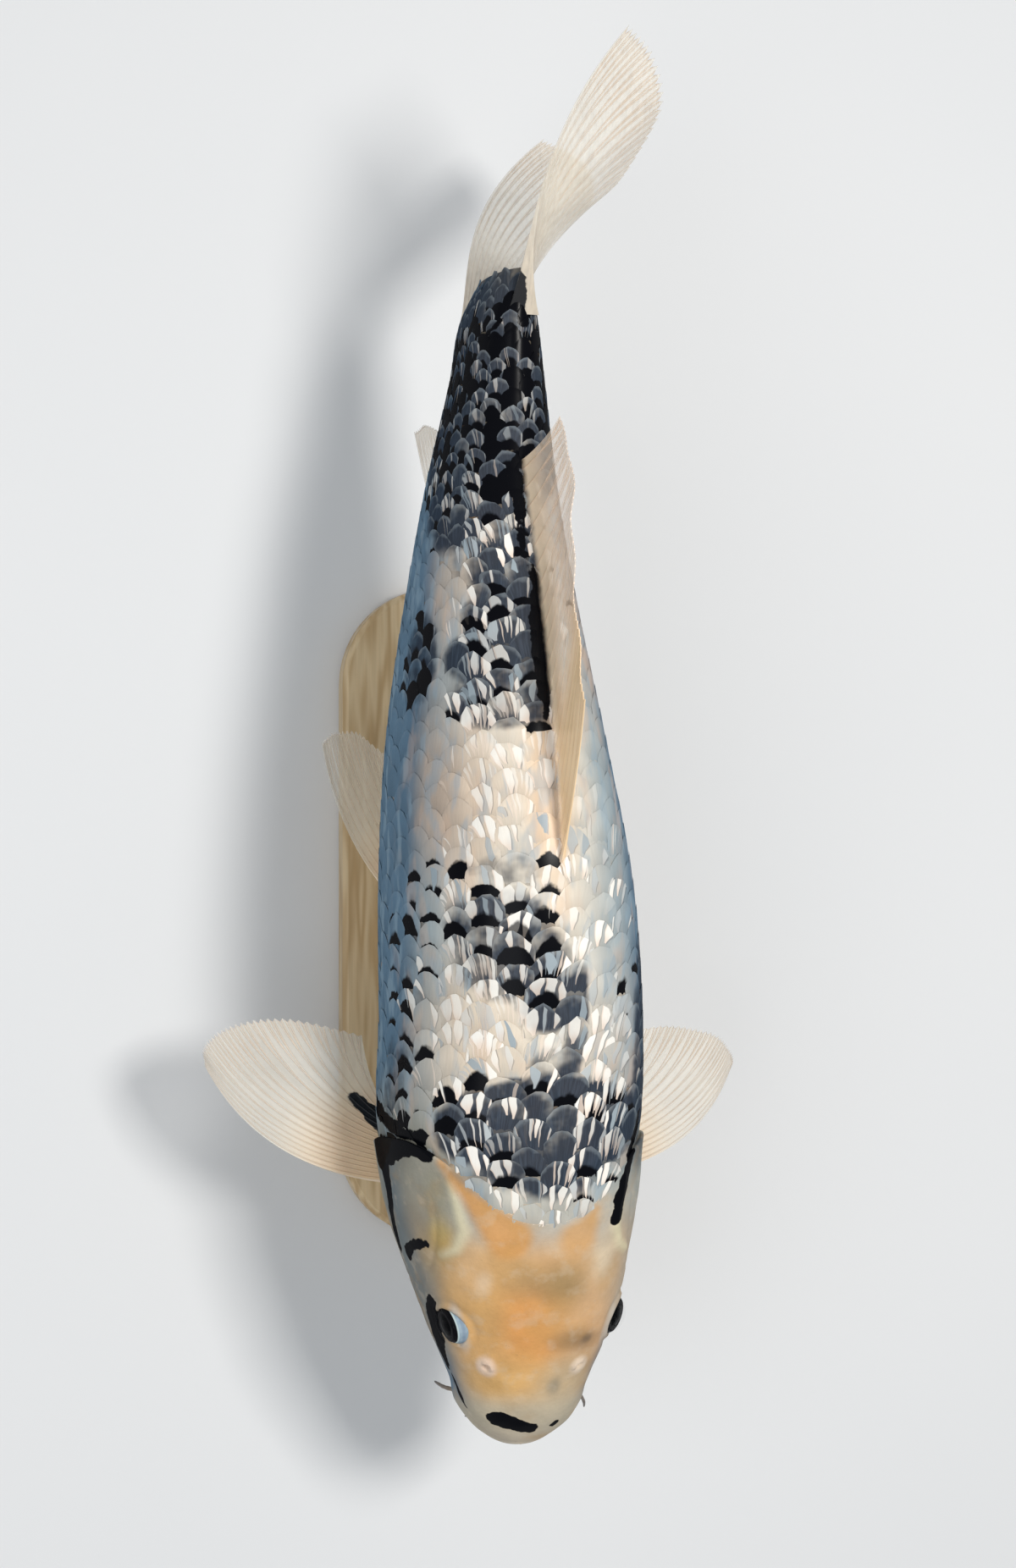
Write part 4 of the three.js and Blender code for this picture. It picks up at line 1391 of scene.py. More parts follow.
@dataclass(frozen=True)
class FloorFinish(Finish):
    """A pale matt floor, slightly uneven in tone."""

    name: str = "pale floor"

    def lay(self, recipe: Recipe) -> None:
        """Lays a soft cloud of two tones."""
        cloud = recipe.noise(recipe.object_place(), 3)
        recipe.set(
            Base_Color=recipe.mix(cloud, (226, 228, 230), (232, 233, 234)),
            Roughness=cloud * 0.1 + 0.6,
        )


# ---------------------------------------------------------------- skin


@dataclass(frozen=True)
class Skin:
    """The one skin of head, gill covers, trunk and tail stalk, as rings round the body.

    Attributes:
        columns: points round each ring.
        nose_rows, head_rows, trunk_rows: rings over the snout, to the gill edge, and to the tail.
        head_inset: how far the head's skin lies inside the solid.
        coat: how far the trunk's skin lies inside it, under the scales.
        cover_lift: how far a gill cover's edge stands up.
        shoulder_sink: how much deeper the trunk's skin lies just behind it.
        fold: the section of that edge: steps along and heights, head to trunk.
        fold_end: how far behind the edge the trunk's rings begin.
        fades: the lengths over which the lift, the sink and the nape's level fade.
        tail_dome: how far the skin's closed end stands out.
    """

    body: Body
    gill: GillEdge
    markings: Markings
    columns: int = 320
    nose_rows: int = 52
    head_rows: int = 106
    trunk_rows: int = 122
    head_inset: float = 0.2
    coat: float = 0.9
    cover_lift: float = 0.8
    shoulder_sink: float = 1.3
    fold: tuple[tuple[float, float], ...] = (
        (0.5, 0.45), (0.75, -0.1), (0.55, -0.9), (-0.3, -1.7), (0.4, -2.2),
    )
    fold_end: float = 1.6
    fades: tuple[float, float, float] = (14, 10, 7)
    tail_dome: float = 1.5

    def seat(self, at: Array, share: Array, edge: Array) -> Array:
        """The height of the trunk's skin: the coat's depth inside the form, deeper just behind a gill
        cover, and level with the head on the nape.

        Args:
            at: share of the length.
            share: share of the girth.
            edge: the gill edge's share of the length there.

        Returns:
            Heights, below 0 inside the form.
        """
        strength = self.gill.strength(share)
        behind = np.maximum(at - edge, 0) * self.body.length
        _, sink_fade, nape_fade = self.fades
        sunk = self.shoulder_sink * strength * np.exp(-behind / sink_fade)
        nape = (self.coat - self.head_inset) * (1 - strength) * np.exp(-behind / nape_fade)
        return nape - self.coat - sunk

    def lie(self) -> tuple[Array, Array, Array]:
        """Where the skin's rings run: evenly over the snout's quarter ellipse, evenly from there to the
        gill edge, then the fold's, and the trunk's on to the tail.

        Returns:
            Shares of the length, shares of the girth and plain heights, shaped (rings, columns).
        """
        body, gill = self.body, self.gill
        share = np.arange(self.columns) / self.columns - 0.5
        edge = gill.place(share)
        strength = gill.strength(share)
        turns = np.radians(90) * np.arange(1, self.nose_rows + 1) / self.nose_rows
        nose = body.nose * (1 - np.cos(turns))[:, None] + 0 * share
        steps = (np.arange(1, self.head_rows + 1) / self.head_rows)[:, None]
        head = np.concatenate([nose, body.nose + (edge - body.nose) * steps])
        ahead = (edge - head) * body.length
        height = self.cover_lift * strength * np.exp(-ahead / self.fades[0]) - self.head_inset
        rows, heights = [head], [height]
        seated = self.seat(edge, share, edge)
        for k, (step, rise) in enumerate(self.fold):
            plain = (k + 1) / (len(self.fold) + 1)
            rows.append((edge + lerp(plain * 2, step, strength) / body.length)[None])
            heights.append(lerp(lerp(-self.head_inset, seated, plain), rise, strength)[None])
        first = edge + self.fold_end / body.length
        steps = (np.arange(self.trunk_rows) / (self.trunk_rows - 1))[:, None]
        trunk = first + (body.tail_end - first) * steps
        rows.append(trunk)
        heights.append(self.seat(trunk, share, edge))
        at = np.concatenate(rows)
        return at, np.broadcast_to(share, at.shape), np.concatenate(heights)

    def make(self, relief: "HeadRelief", finish: Material) -> None:
        """Builds the skin: form, plus normal times the plain height and the head's relief."""
        body = self.body
        at, share, height = self.lie()
        points, _, _, normal = body.axes(at, share)
        height = height + relief.height(points, at, share)
        pole = body.point(0.0, 0.0)
        snout = pole + np.array([0, -1, 0]) * relief.height(pole[None], np.zeros(1), np.zeros(1))
        end = body.point(np.full(4, body.tail_end), np.array([0, 0.25, 0.5, 0.75])).mean(0)
        rings = points + normal * height[..., None]
        every, faces = tube(rings, snout, end + np.array([0, self.tail_dome, 0]))
        u = np.linspace(0, 1, len(rings) + 2)
        v = np.arange(self.columns + 1) / self.columns
        bare = np.concatenate([points.reshape(-1, 3), pole[None], end[None]])
        at_all = np.concatenate([at.ravel(), [0, body.tail_end]])
        share_all = np.concatenate([share.ravel(), [0, 0]])
        ink = self.markings.ink(HEAD_INK + BODY_INK, bare)
        values = {"tint": self.markings.skin_tint(at_all, share_all), "ink": ink}
        shape = Shape(every, faces, {"OFBake": tube_map(u, v)}, values)
        shape.make(
            "koi_skin", finish, "head_skin", "head", "lower_jaw", "gill_cover_left",
            "gill_cover_right", "trunk_front", "trunk_rear", "tail_stalk",
        )


# Shares of the length between which the head's relief fades out.
HEAD_FADE = (0.24, 0.3)


def unevenness(points: Array, at: Array) -> Array:
    """The slight unevenness of living skin on the head, faded out behind it."""
    return (1 - ease(*HEAD_FADE, at)) * (0.25 * ripple(points, 34, 5) + 0.08 * ripple(points, 12, 6))


@dataclass(frozen=True)
class HeadRelief:
    """The head's own forms, added to the plain skin: eye sockets, nostrils, lips and cheek lines.

    A soft ring or line is its height, how far off its middle lies, and its width.

    Attributes:
        socket, pit: an eye socket's radius and depth.
        lids: the lid round it, and the furrow round that.
        nostrils: both nostrils' shares of the length and of the girth.
        mound, flap, hole: a nostril's rings, of which the flap stands only behind it.
        slit_front, slit_corner: the mouth slit's height over the axis at the snout and its corner.
        slit_end: the corner's share of the length.
        slit, lips, folds: the slit's depth, and the lines above and below it.
        cover_at, cover_z: the gill cover's middle: share of the length, and height over the axis.
        cover_along, cover_high: half its length and half its height.
        cover_dome: how far its plate is domed.
        groove: depth and width of the groove at its front.
        ridge: height of the ridge along its top, and the width of the ridge's slopes.
    """

    body: Body
    socket: float = 8.9
    pit: float = 6.5
    lids: tuple[Ring, ...] = ((0.8, 1.0, 1.1), (-0.5, 4.2, 1.8))
    nostrils: tuple[tuple[float, float], ...] = ((0.079, 0.090), (0.0815, -0.101))
    mound: Ring = (1.1, 0, 4.6)
    flap: Ring = (1.3, 2.6, 1.0)
    hole: Ring = (-2.6, 0, 1.5)
    slit_front: float = -18.3
    slit_corner: float = -22
    slit_end: float = 0.05
    slit: Ring = (-3.6, 0, 0.9)
    lips: tuple[Ring, ...] = ((1.5, 3.4, 2.2), (1.2, -3.2, 2.2))
    folds: tuple[Ring, ...] = ((-0.9, 7.4, 1.3), (-0.6, -7.4, 1.5))
    cover_at: float = 0.238
    cover_z: float = -8
    cover_along: float = 47
    cover_high: float = 45
    cover_dome: float = 0.6
    groove: tuple[float, float] = (0.7, 1.3)
    ridge: tuple[float, float] = (1.1, 2.6)

    def eye_sockets(self, points: Array) -> Array:
        """A pit round each eye with a soft raised lid: a step down inside the socket's radius and a
        bell round it."""
        height = np.zeros(points.shape[:-1])
        for side in Side:
            middle = self.body.point(*self.body.eye_spot(side))
            away = np.linalg.norm(points - middle, axis=-1)
            height = height - self.pit * (1 - ease(self.socket - 0.8, self.socket + 0.1, away))
            height = height + swell(away - self.socket, *self.lids)
        return height

    def nostril_mounds(self, points: Array) -> Array:
        """A low mound on each side, with a pit and a flap that stands up behind it."""
        height = np.zeros(points.shape[:-1])
        for at, share in self.nostrils:
            middle, along, around, _ = self.body.axes(at, share)
            offset = points - middle
            away = np.linalg.norm(offset, axis=-1)
            inner = (offset @ along * 0.75 - offset @ around * np.sign(share)) / np.maximum(away, 0.5)
            height = height + swell(away, self.mound, self.hole)
            height = height + swell(away, self.flap) * ease(-0.2, 0.8, inner)
        return height

    def mouth(self, points: Array, at: Array) -> Array:
        """The slit along its sloping line, with a lip and a fold on each side, all fading behind the
        mouth's corner."""
        slope = (self.slit_corner - self.slit_front) / self.slit_end
        line = self.body.axis_height + self.slit_front + slope * at
        above = points[..., 2] - line
        fade = 1 - ease(self.slit_end - 0.01, self.slit_end + 0.01, at)
        return fade * swell(above, *self.lips, *self.folds, self.slit)

    def cheeks(self, points: Array, at: Array, share: Array) -> Array:
        """The lines of the cheek: the front edge of the gill cover as a groove, its plate a little
        domed, and a ridge along the top of the cover."""
        y = (points[..., 1] - self.body.snout_y - self.cover_at * self.body.length) / self.cover_along
        z = (points[..., 2] - self.body.axis_height - self.cover_z) / self.cover_high
        inside = 1 - np.hypot(y, z)
        away = np.abs(share)
        depth, width = self.groove
        groove = depth * bell(inside * self.cover_along, width) * ease(0.05, 0.13, away)
        groove = groove * (1 - ease(0.2, 0.25, at))
        dome = ease(0, 0.6, inside) * ease(0.08, 0.16, away) * (1 - ease(0.3, 0.42, away))
        ridges = np.max([inside_stroke(self.body, stroke, points) for stroke in COVER_RIDGES], 0)
        high, slope = self.ridge
        return high * ease(-slope, slope, ridges) + self.cover_dome * dome - groove

    def height(self, points: Array, at: Array, share: Array) -> Array:
        """All the relief together, with the unevenness of living skin."""
        forms = self.eye_sockets(points) + self.nostril_mounds(points) + self.mouth(points, at)
        fade = 1 - ease(*HEAD_FADE, at)
        return forms + unevenness(points, at) + fade * self.cheeks(points, at, share)


# ---------------------------------------------------------------- scales


@dataclass(frozen=True)
class Coat:
    """The coat of scales: a lattice of rows along the body, each scale a closed domed plate.

    Attributes:
        rows: rows of scales round the body.
        crowd, tail_crowd: how much closer they lie along back and belly than on the sides, in front
            and behind the middle of the body.
        first: the share of the length at which the rows start.
        repeats: shares of the length, and beside them the distance from one scale to the next.
        half_width: a scale's half-width as a share of the rows' distance.
        reach: a scale's length as a multiple of the repeat.
        rounding: how far its free edge is rounded, as a share of its half-width.
        lift: how far its free edge stands over its root.
        thick: its thickness.
        rest, dome, droop: how far it stands over the trunk's skin, how high it is domed across,
            and how far its free edge turns down.
        sunk: how far its root lies under the skin.
        dive, dive_most: how much a root under the gill edge sinks per millimetre, and at most.
        jag: how ragged the free edge of a glittering scale is.
        twist, lop: how far scales are turned and free edges slant at random, as slopes.
        stray: how far scales stray along and across their row, as shares of its steps.
        cap_odds: how often a shaded scale has a black cap of its own.
        whole_odds: how often a black scale is black all over, where black is dense.
        own_cap, night_cap, whole_cap: the least and the most that those caps reach.
        across: cells across a scale.
        along: places of the points along a scale, as shares of its length.
    """

    body: Body
    gill: GillEdge
    markings: Markings
    skin: Skin
    rows: int = 28
    crowd: float = 0.015
    tail_crowd: float = -0.04
    first: float = 0.1728
    repeats: tuple[tuple[float, ...], ...] = ((0.165, 0.25, 0.6, 1.0), (8.5, 12.4, 11.6, 8.2))
    half_width: float = 0.66
    reach: float = 1.75
    rounding: float = 0.8
    lift: float = 0.26
    thick: float = 0.12
    rest: float = 0.06
    dome: float = 0.16
    droop: float = 0.06
    sunk: float = 0.45
    dive: float = 0.25
    dive_most: float = 1.5
    jag: float = 1.1
    twist: float = 0.07
    lop: float = 0.2
    stray: tuple[float, float] = (0.08, 0.04)
    cap_odds: float = 0.22
    whole_odds: float = 0.42
    own_cap: tuple[float, float] = (0.12, 0.34)
    night_cap: tuple[float, float] = (0.25, 0.6)
    whole_cap: tuple[float, float] = (2.3, 2.8)
    across: int = 8
    along: tuple[float, ...] = (0.0, 0.3, 0.5, 0.68, 0.84, 0.95, 1.0)
    seed: int = 11

    def random(self, number: int) -> np.random.Generator:
        """One of the coat's own rows of random numbers."""
        return np.random.default_rng(self.seed + number)

    def lane(self, turn: Array, at: Array) -> Array:
        """The share of the girth at a share of the rows: the share less crowd times the sine of two
        full turns, where crowd falls from the shoulder to the tail."""
        crowd = lerp(self.crowd, self.tail_crowd, ease(0.48, 0.7, at))
        return turn - crowd / 2 * np.sin(4 * math.pi * turn)

    def lattice(self) -> dict[str, Array]:
        """Where every scale is, what it measures and how it is marked.

        Every other row is half a step further on, and each scale is moved a little at random.

        Returns:
            One array for each measure: at, share, row, repeat and half, and the marks cap, glint,
            seed, lean and night.
        """
        body = self.body
        places = [self.first]
        while places[-1] < 1.0:
            places.append(places[-1] + np.interp(places[-1], *self.repeats) / body.length)
        starts = np.array(places)
        last = starts[-1] + self.repeats[1][-1] / body.length
        repeats = np.diff(np.append(starts, last)) * body.length
        row, column = np.meshgrid(np.arange(self.rows), np.arange(len(starts)), indexing="ij")
        row, column = row.ravel(), column.ravel()
        turn = (row + 0.5) / self.rows
        repeat = repeats[column]
        at = starts[column] + (row % 2) * repeat / 2 / body.length
        share = (self.lane(turn, at) + 0.5) % 1 - 0.5
        chance = self.random(0)
        at = at + chance.normal(0, self.stray[0], at.shape) * repeat / body.length
        spacing = self.lane(turn + 0.5 / self.rows, at) - self.lane(turn - 0.5 / self.rows, at)
        spacing = spacing * body.girth(at)
        share = share + chance.normal(0, self.stray[1], at.shape) / self.rows
        half = self.half_width * spacing * chance.uniform(0.9, 1.08, at.shape)
        tip = at + self.reach * repeat / body.length
        edge = self.gill.place(share)
        kept = (tip > edge + 4 / body.length) & (tip < body.tail_end + 0.004)
        found = {"at": at, "share": share, "row": row, "repeat": repeat, "half": half}
        found = {key: value[kept] for key, value in found.items()}
        return found | self.marks(found, chance)

    def marks(self, found: dict[str, Array], chance: np.random.Generator) -> dict[str, Array]:
        """Each scale's marks, from the patches over its middle: a black cap, a glitter, a seed, the lean
        of its blades, and how dark the night round it is.

        Args:
            found: the scales' places and sizes.
            chance: the random numbers that the lattice began.

        Returns:
            One array for each mark.
        """
        body, markings = self.body, self.markings
        count = len(found["at"])
        front = found["at"] + (self.reach - 0.8) * found["repeat"] / body.length
        middle = found["at"] + (self.reach - 0.5) * found["repeat"] / body.length
        share = found["share"]
        seed = (chance.integers(0, SEEDS, count) + 0.5) / SEEDS
        shaded = markings.most(SHADES, middle, share) > 0.6
        glint = markings.most(GLINTS, middle, share)
        glint = np.clip(np.maximum(glint, 0.1) * chance.uniform(0.45, 1.3, count), 0, 1)
        often = np.where(middle > 0.25, self.cap_odds, 0)
        own = shaded & (chance.uniform(0, 1, count) < often)
        cap = np.where(own, chance.uniform(*self.own_cap, count), 0)
        spots = body.point(front, share)
        for at, place, fill in CAPS:
            away = np.linalg.norm(spots - body.point(at, place), axis=-1)
            cap[np.argmin(away)] = fill
        night = markings.most(NIGHT, middle, share)
        whole = (chance.uniform(0, 1, count) < self.whole_odds) & (night > 0.4)
        every = chance.uniform(*self.whole_cap, count)
        covered = np.where(whole, every, chance.uniform(*self.night_cap, count))
        black = chance.uniform(0, 1, count) < night
        cap = np.where(black, covered, cap)
        glint = np.where(black, np.where(whole, 0, 0.3), glint)
        lean = np.clip(5 * share, -0.5, 0.5) + chance.normal(0, 0.14, count)
        return {"cap": cap, "glint": glint, "seed": seed, "lean": lean, "night": night}

    def plate(self) -> tuple[Array, Array, Array, Array]:
        """One scale's own grid, whose rim belongs to both sides.

        Returns:
            For each point how far across it is, from -1 to 1, how far along, from 0 to 1, and whether
            it is on top, 1 or 0. Then the quads, the upper side's first.
        """
        q = np.sin(np.linspace(-math.pi / 2, math.pi / 2, self.across + 1))
        p = np.array(self.along)
        upper = np.arange(len(p) * len(q)).reshape(len(p), len(q))
        lower = upper.copy()
        inner = (len(p) - 2, len(q) - 2)
        lower[1:-1, 1:-1] = upper.size + np.arange(inner[0] * inner[1]).reshape(inner)
        grid_p, grid_q = np.meshgrid(p, q, indexing="ij")
        own_q = np.concatenate([grid_q.ravel(), grid_q[1:-1, 1:-1].ravel()])
        own_p = np.concatenate([grid_p.ravel(), grid_p[1:-1, 1:-1].ravel()])
        top = np.concatenate([np.ones(upper.size), np.zeros(inner[0] * inner[1])])
        return own_q, own_p, top, np.concatenate([cells(upper), cells(lower)[:, ::-1]])

    def scales(self, chosen: dict[str, Array], span: tuple[int, int]) -> Shape:
        """The joined mesh of the chosen scales.

        A point's distance from the root is its share of the way to the free edge, which is rounded
        as a circle is. Its height is the seat's, plus the lift times the distance to the power of
        one and a half, plus a low dome across.

        Args:
            chosen: the scales' measures and marks.
            span: the first and last row of the piece, for its map.

        Returns:
            The mesh with its maps lie and OFBake and its markings.
        """
        body = self.body
        q, p, top, quads = self.plate()
        count, size = len(chosen["at"]), len(q)
        repeat, half = chosen["repeat"][:, None], chosen["half"][:, None]
        tip = self.reach * repeat
        pointed, lop = self.random(5).uniform(-1, 1, (2, count, 1))
        circle = 1 - np.sqrt(np.maximum(1 - 0.985 * q**2, 0))
        bow = self.rounding * half * lerp(circle, np.abs(q) ** 1.4, 0.35 + 0.35 * pointed)
        column = np.rint((np.arcsin(q) / math.pi + 0.5) * self.across).astype(int)
        teeth = self.random(3).uniform(-1.0, 0.55, (count, self.across + 1))
        teeth[:, [0, -1]] = 0
        teeth = teeth[:, column] * (0.25 + self.jag * chosen["glint"][:, None]) * p**3
        y = p * (tip - bow) + teeth + self.lop * lop * q * half * p**2
        at = chosen["at"][:, None] + y / body.length
        twist = self.random(4).normal(0, self.twist, (count, 1))
        share = chosen["share"][:, None] + (q * half + y * twist) / body.girth(at)
        at_flat, share_flat = at.ravel(), share.ravel()
        base, _, _, normal = body.axes(at_flat, share_flat)
        edge = self.gill.place(share_flat)
        seat = self.skin.seat(at_flat, share_flat, edge).reshape(count, size)
        far = y / tip
        lift = self.lift * lerp(0.3, 1.0, ease(0.2, 0.29, at))
        rise = lift * np.clip(far, 0, 1) ** 1.5 - self.sunk * (1 - p) ** 3
        dome = self.dome * (1 - q**2) * far
        droop = self.droop * ease(0.93, 1.0, p)
        ahead = np.maximum(edge.reshape(count, size) - at, 0) * body.length
        buried = np.minimum(self.dive * ahead, self.dive_most)
        height = seat + self.rest + rise + dome - droop - buried - (1 - top) * self.thick
        points = base + normal * (height.ravel() + unevenness(base, at_flat))[:, None]
        behind = (y - (tip - bow)) / repeat + 1
        faces = (quads[None] + size * np.arange(count)[:, None, None]).reshape(-1, 4)
        lie = np.stack([np.broadcast_to(q, (count, size)), behind], -1).reshape(-1, 2)
        each = {key: np.repeat(chosen[key], size) for key in ("cap", "glint", "seed", "lean", "night")}
        shade = self.markings.most(SHADES, at_flat, share_flat)
        shade = shade * np.repeat(self.random(2).uniform(0.85, 1.1, count), size)
        tint = self.markings.tint(at_flat, share_flat, TINTS)
        tint[:, :3] *= np.repeat(self.random(1).uniform(0.95, 1.03, count), size)[:, None]
        values = {
            "tint": tint,
            "lean": each["lean"],
            "night": each["night"],
            "ink": self.markings.ink(BODY_INK, base),
            "make": np.stack([each["cap"], shade, each["glint"], each["seed"]], -1),
        }
        maps = {"lie": [lie[faces]], "OFBake": [self.patches(chosen, quads, span)]}
        crisp = np.tile((np.abs(q) == 1) | (p == 0) | (p == 1), count)
        return Shape(points, [faces], maps, values, crisp)

    def patches(self, chosen: dict[str, Array], quads: Array, span: tuple[int, int]) -> Array:
        """Each scale's patch on the unwrap of the skin under the piece: u along, v round the body.

        A patch stands at its root's place, in the lattice's own steps, so no two meet. Its upper
        side fills most of it and its lower side is a narrow strip beside that.

        Args:
            chosen: the scales' measures.
            quads: one scale's faces, its upper side's first.
            span: the first and last row of the piece.

        Returns:
            The places of the faces' corners, shaped (faces, 4, 2).
        """
        q, p, _, _ = self.plate()
        half = len(quads) // 2
        rows = span[1] - span[0]
        lane = (chosen["row"] - span[0]) % self.rows
        order = np.argsort(np.argsort(chosen["at"] + lane * 10))
        first = np.array([order[lane == k].min() if np.any(lane == k) else 0 for k in range(rows)])
        place = order - first[lane]
        most = place.max() + 1
        u = (place[:, None, None] + 0.06 + 0.86 * p[quads][None]) / most
        upper = 0.05 + 0.36 * (q[quads[:half]] + 1)
        lower = 0.83 + 0.05 * (q[quads[half:]] + 1)
        v = (lane[:, None, None] + np.concatenate([upper, lower])[None]) / rows
        return np.stack([np.broadcast_to(u, v.shape), v], -1).reshape(-1, 4, 2)

    def make(self, finish: Material) -> None:
        """Builds the coat in four pieces, two for the back and two for the belly."""
        found = self.lattice()
        quarter = self.rows // 4
        for k, place in enumerate(("back_left", "belly_left", "belly_right", "back_right")):
            inside = found["row"] // quarter == k
            chosen = {key: value[inside] for key, value in found.items()}
            name = "scales_" + place
            LOG.info("%s: %d scales", name, inside.sum())
            self.scales(chosen, (k * quarter, (k + 1) * quarter)).make(name, finish, "scaly_skin")


# ---------------------------------------------------------------- eyes and barbels


@dataclass(frozen=True)
class Eye:
    """One eye: a ball with a flat dark iris and a raised pupil, under a clear dome.

    Edges are degrees from the eye's axis, and rises are millimetres.

    Attributes:
        middle: the ball's middle.
        sideways: how far its axis has turned from straight off the skin to straight sideways, or
            below 0, to straight up.
        radius: the dome's radius, without its bulge.
        gap: how far the ball lies inside that.
        rings, columns: the ball's rings, and the points round each.
        dome_rings: rings over each side of the dome.
    """

    body: Body
    side: Side
    middle: Array
    sideways: float
    radius: float = 10.7
    gap: float = 0.4
    rings: int = 40
    columns: int = 64
    iris_edge: float = 52
    iris_rise: float = 0.9
    pupil_edge: float = 33
    pupil_rise: float = 1.1
    dome_edge: float = 60
    dome_rings: int = 16
    dome_bulge: float = 0.35
    dome_thick: float = 0.25

    def turned(self, polar: Array, radius: Array) -> Array:
        """Points round the eye's axis: radius times the sine and cosine of the polar angle.

        Args:
            polar: degrees from the middle of the pupil, one for each ring.
            radius: distance from the ball's middle, one for each ring.

        Returns:
            Rings of points, turned so that round cross along points outward.
        """
        _, along, _, outward = self.body.axes(*self.body.eye_spot(self.side))
        aim = np.array([self.side.value, -0.2, 0.05] if self.sideways > 0 else [0, 0, 1.0])
        axis = unit(lerp(outward, aim, abs(self.sideways)))
        first = unit(np.cross(along, axis))
        second = np.cross(axis, first)
        turn = 2 * math.pi * np.arange(self.columns) / self.columns
        polar = np.radians(polar)[:, None]
        flat = np.cos(turn)[:, None] * first + np.sin(-turn)[:, None] * second
        reach = np.sin(polar)[..., None] * flat + np.cos(polar)[..., None] * axis
        return self.middle + radius[:, None, None] * reach

    def closed(self, polar: Array, radius: Array) -> tuple[Array, list[Array]]:
        """The closed surface turned from a profile, whose first and last numbers are its poles."""
        rings = self.turned(polar, radius)
        return tube(rings[1:-1], rings[0, 0], rings[-1, 0])

    def ball(self, finish: Material) -> None:
        """Builds the ball, whose front is cut flat at the iris, with a low swelling for the pupil.

        The flat's distance from the ball's middle is a constant over the cosine of the angle.
        """
        inner = self.radius - self.gap
        flat = math.cos(math.radians(self.iris_edge)) * inner + self.iris_rise
        polar = np.linspace(0, 180, self.rings + 2)
        swell = np.clip(1 - (polar / self.pupil_edge) ** 2, 0, 1) ** 0.6
        disc = flat / np.cos(np.radians(np.minimum(polar, self.dome_edge))) + self.pupil_rise * swell
        radius = np.where(polar < self.iris_edge, np.minimum(disc, inner), inner)
        points, faces = self.closed(polar, radius)
        name = self.side.name.lower()
        lie = tube_map(polar, np.arange(self.columns + 1) / self.columns)
        Shape(points, faces, {"lie": lie}).make("eyeball_" + name, finish, "eye", "eye_" + name)

    def dome(self, finish: Material) -> None:
        """Builds the clear dome: its bulge falls to its edge by a power of a quarter cosine."""
        polar = np.linspace(0, self.dome_edge, self.dome_rings + 1)
        bulge = self.dome_bulge * np.cos(np.radians(polar * 90 / self.dome_edge)) ** 0.7
        outer = self.radius + bulge
        inner = outer[::-1] - self.dome_thick
        points, faces = self.closed(np.concatenate([polar, polar[::-1]]), np.concatenate([outer, inner]))
        Shape(points, faces).make("cornea_" + self.side.name.lower(), finish, "eye")


@dataclass(frozen=True)
class Barbel:
    """One feeler: a tapering tube on a bent path that starts under the skin.

    Attributes:
        node: the solid that it stands for.
        x, at, z: its start: distance from the spine, share of the length, height over the axis.
        out, sweep, drop: how far its tip lies sideways, behind as a share of the length, and below.
        thick: its thickness at the root.
        steps, columns: rings along it, and points round each.
    """

    node: str
    x: float
    at: float
    z: float
    out: float
    sweep: float
    drop: float
    thick: float
    steps: int = 28
    columns: int = 14

    def make(self, body: Body, finish: Material) -> None:
        """Builds the tube: a quadratic curve on three spots, with a radius that falls to half and
        rounds off at the tip, and a slight waviness."""
        middle = float(body.measure(np.array(self.at), "bend")) + self.x
        spots = body.spot((
            (middle - self.out / 4, self.at, self.z),
            (middle + self.out * 0.8, self.at, self.z - self.drop * 0.1),
            (middle + self.out, self.at + self.sweep, self.z - self.drop),
        ))
        t = np.linspace(0, 1, self.steps)[:, None]
        path = spots[0] * (1 - t) ** 2 + 2 * spots[1] * t * (1 - t) + spots[2] * t**2
        forward = unit(np.gradient(path, axis=0))
        side = unit(np.cross(forward, np.array([0.0, 1.0, 0.2])))
        up = np.cross(forward, side)
        path = path + side * 0.25 * np.sin(t * 9) * t
        radius = self.thick / 2 * (1 - 0.5 * t) * np.sqrt(np.maximum(1 - t**14, 0.02))
        radius = radius * (1 + 0.05 * np.sin(t * 40))
        turn = 2 * math.pi * np.arange(self.columns) / self.columns
        ring = np.cos(turn)[:, None] * side[:, None] - np.sin(turn)[:, None] * up[:, None]
        rings = path[:, None] + radius[..., None] * ring
        points, faces = tube(rings, path[0], path[-1] + forward[-1] * 0.2)
        tip = np.concatenate([np.repeat(t[:, 0], self.columns), [0, 1]])
        Shape(points, faces, {}, {"tip": tip}).make(self.node + "_feeler", finish, "barbel", self.node)


# ---------------------------------------------------------------- fins


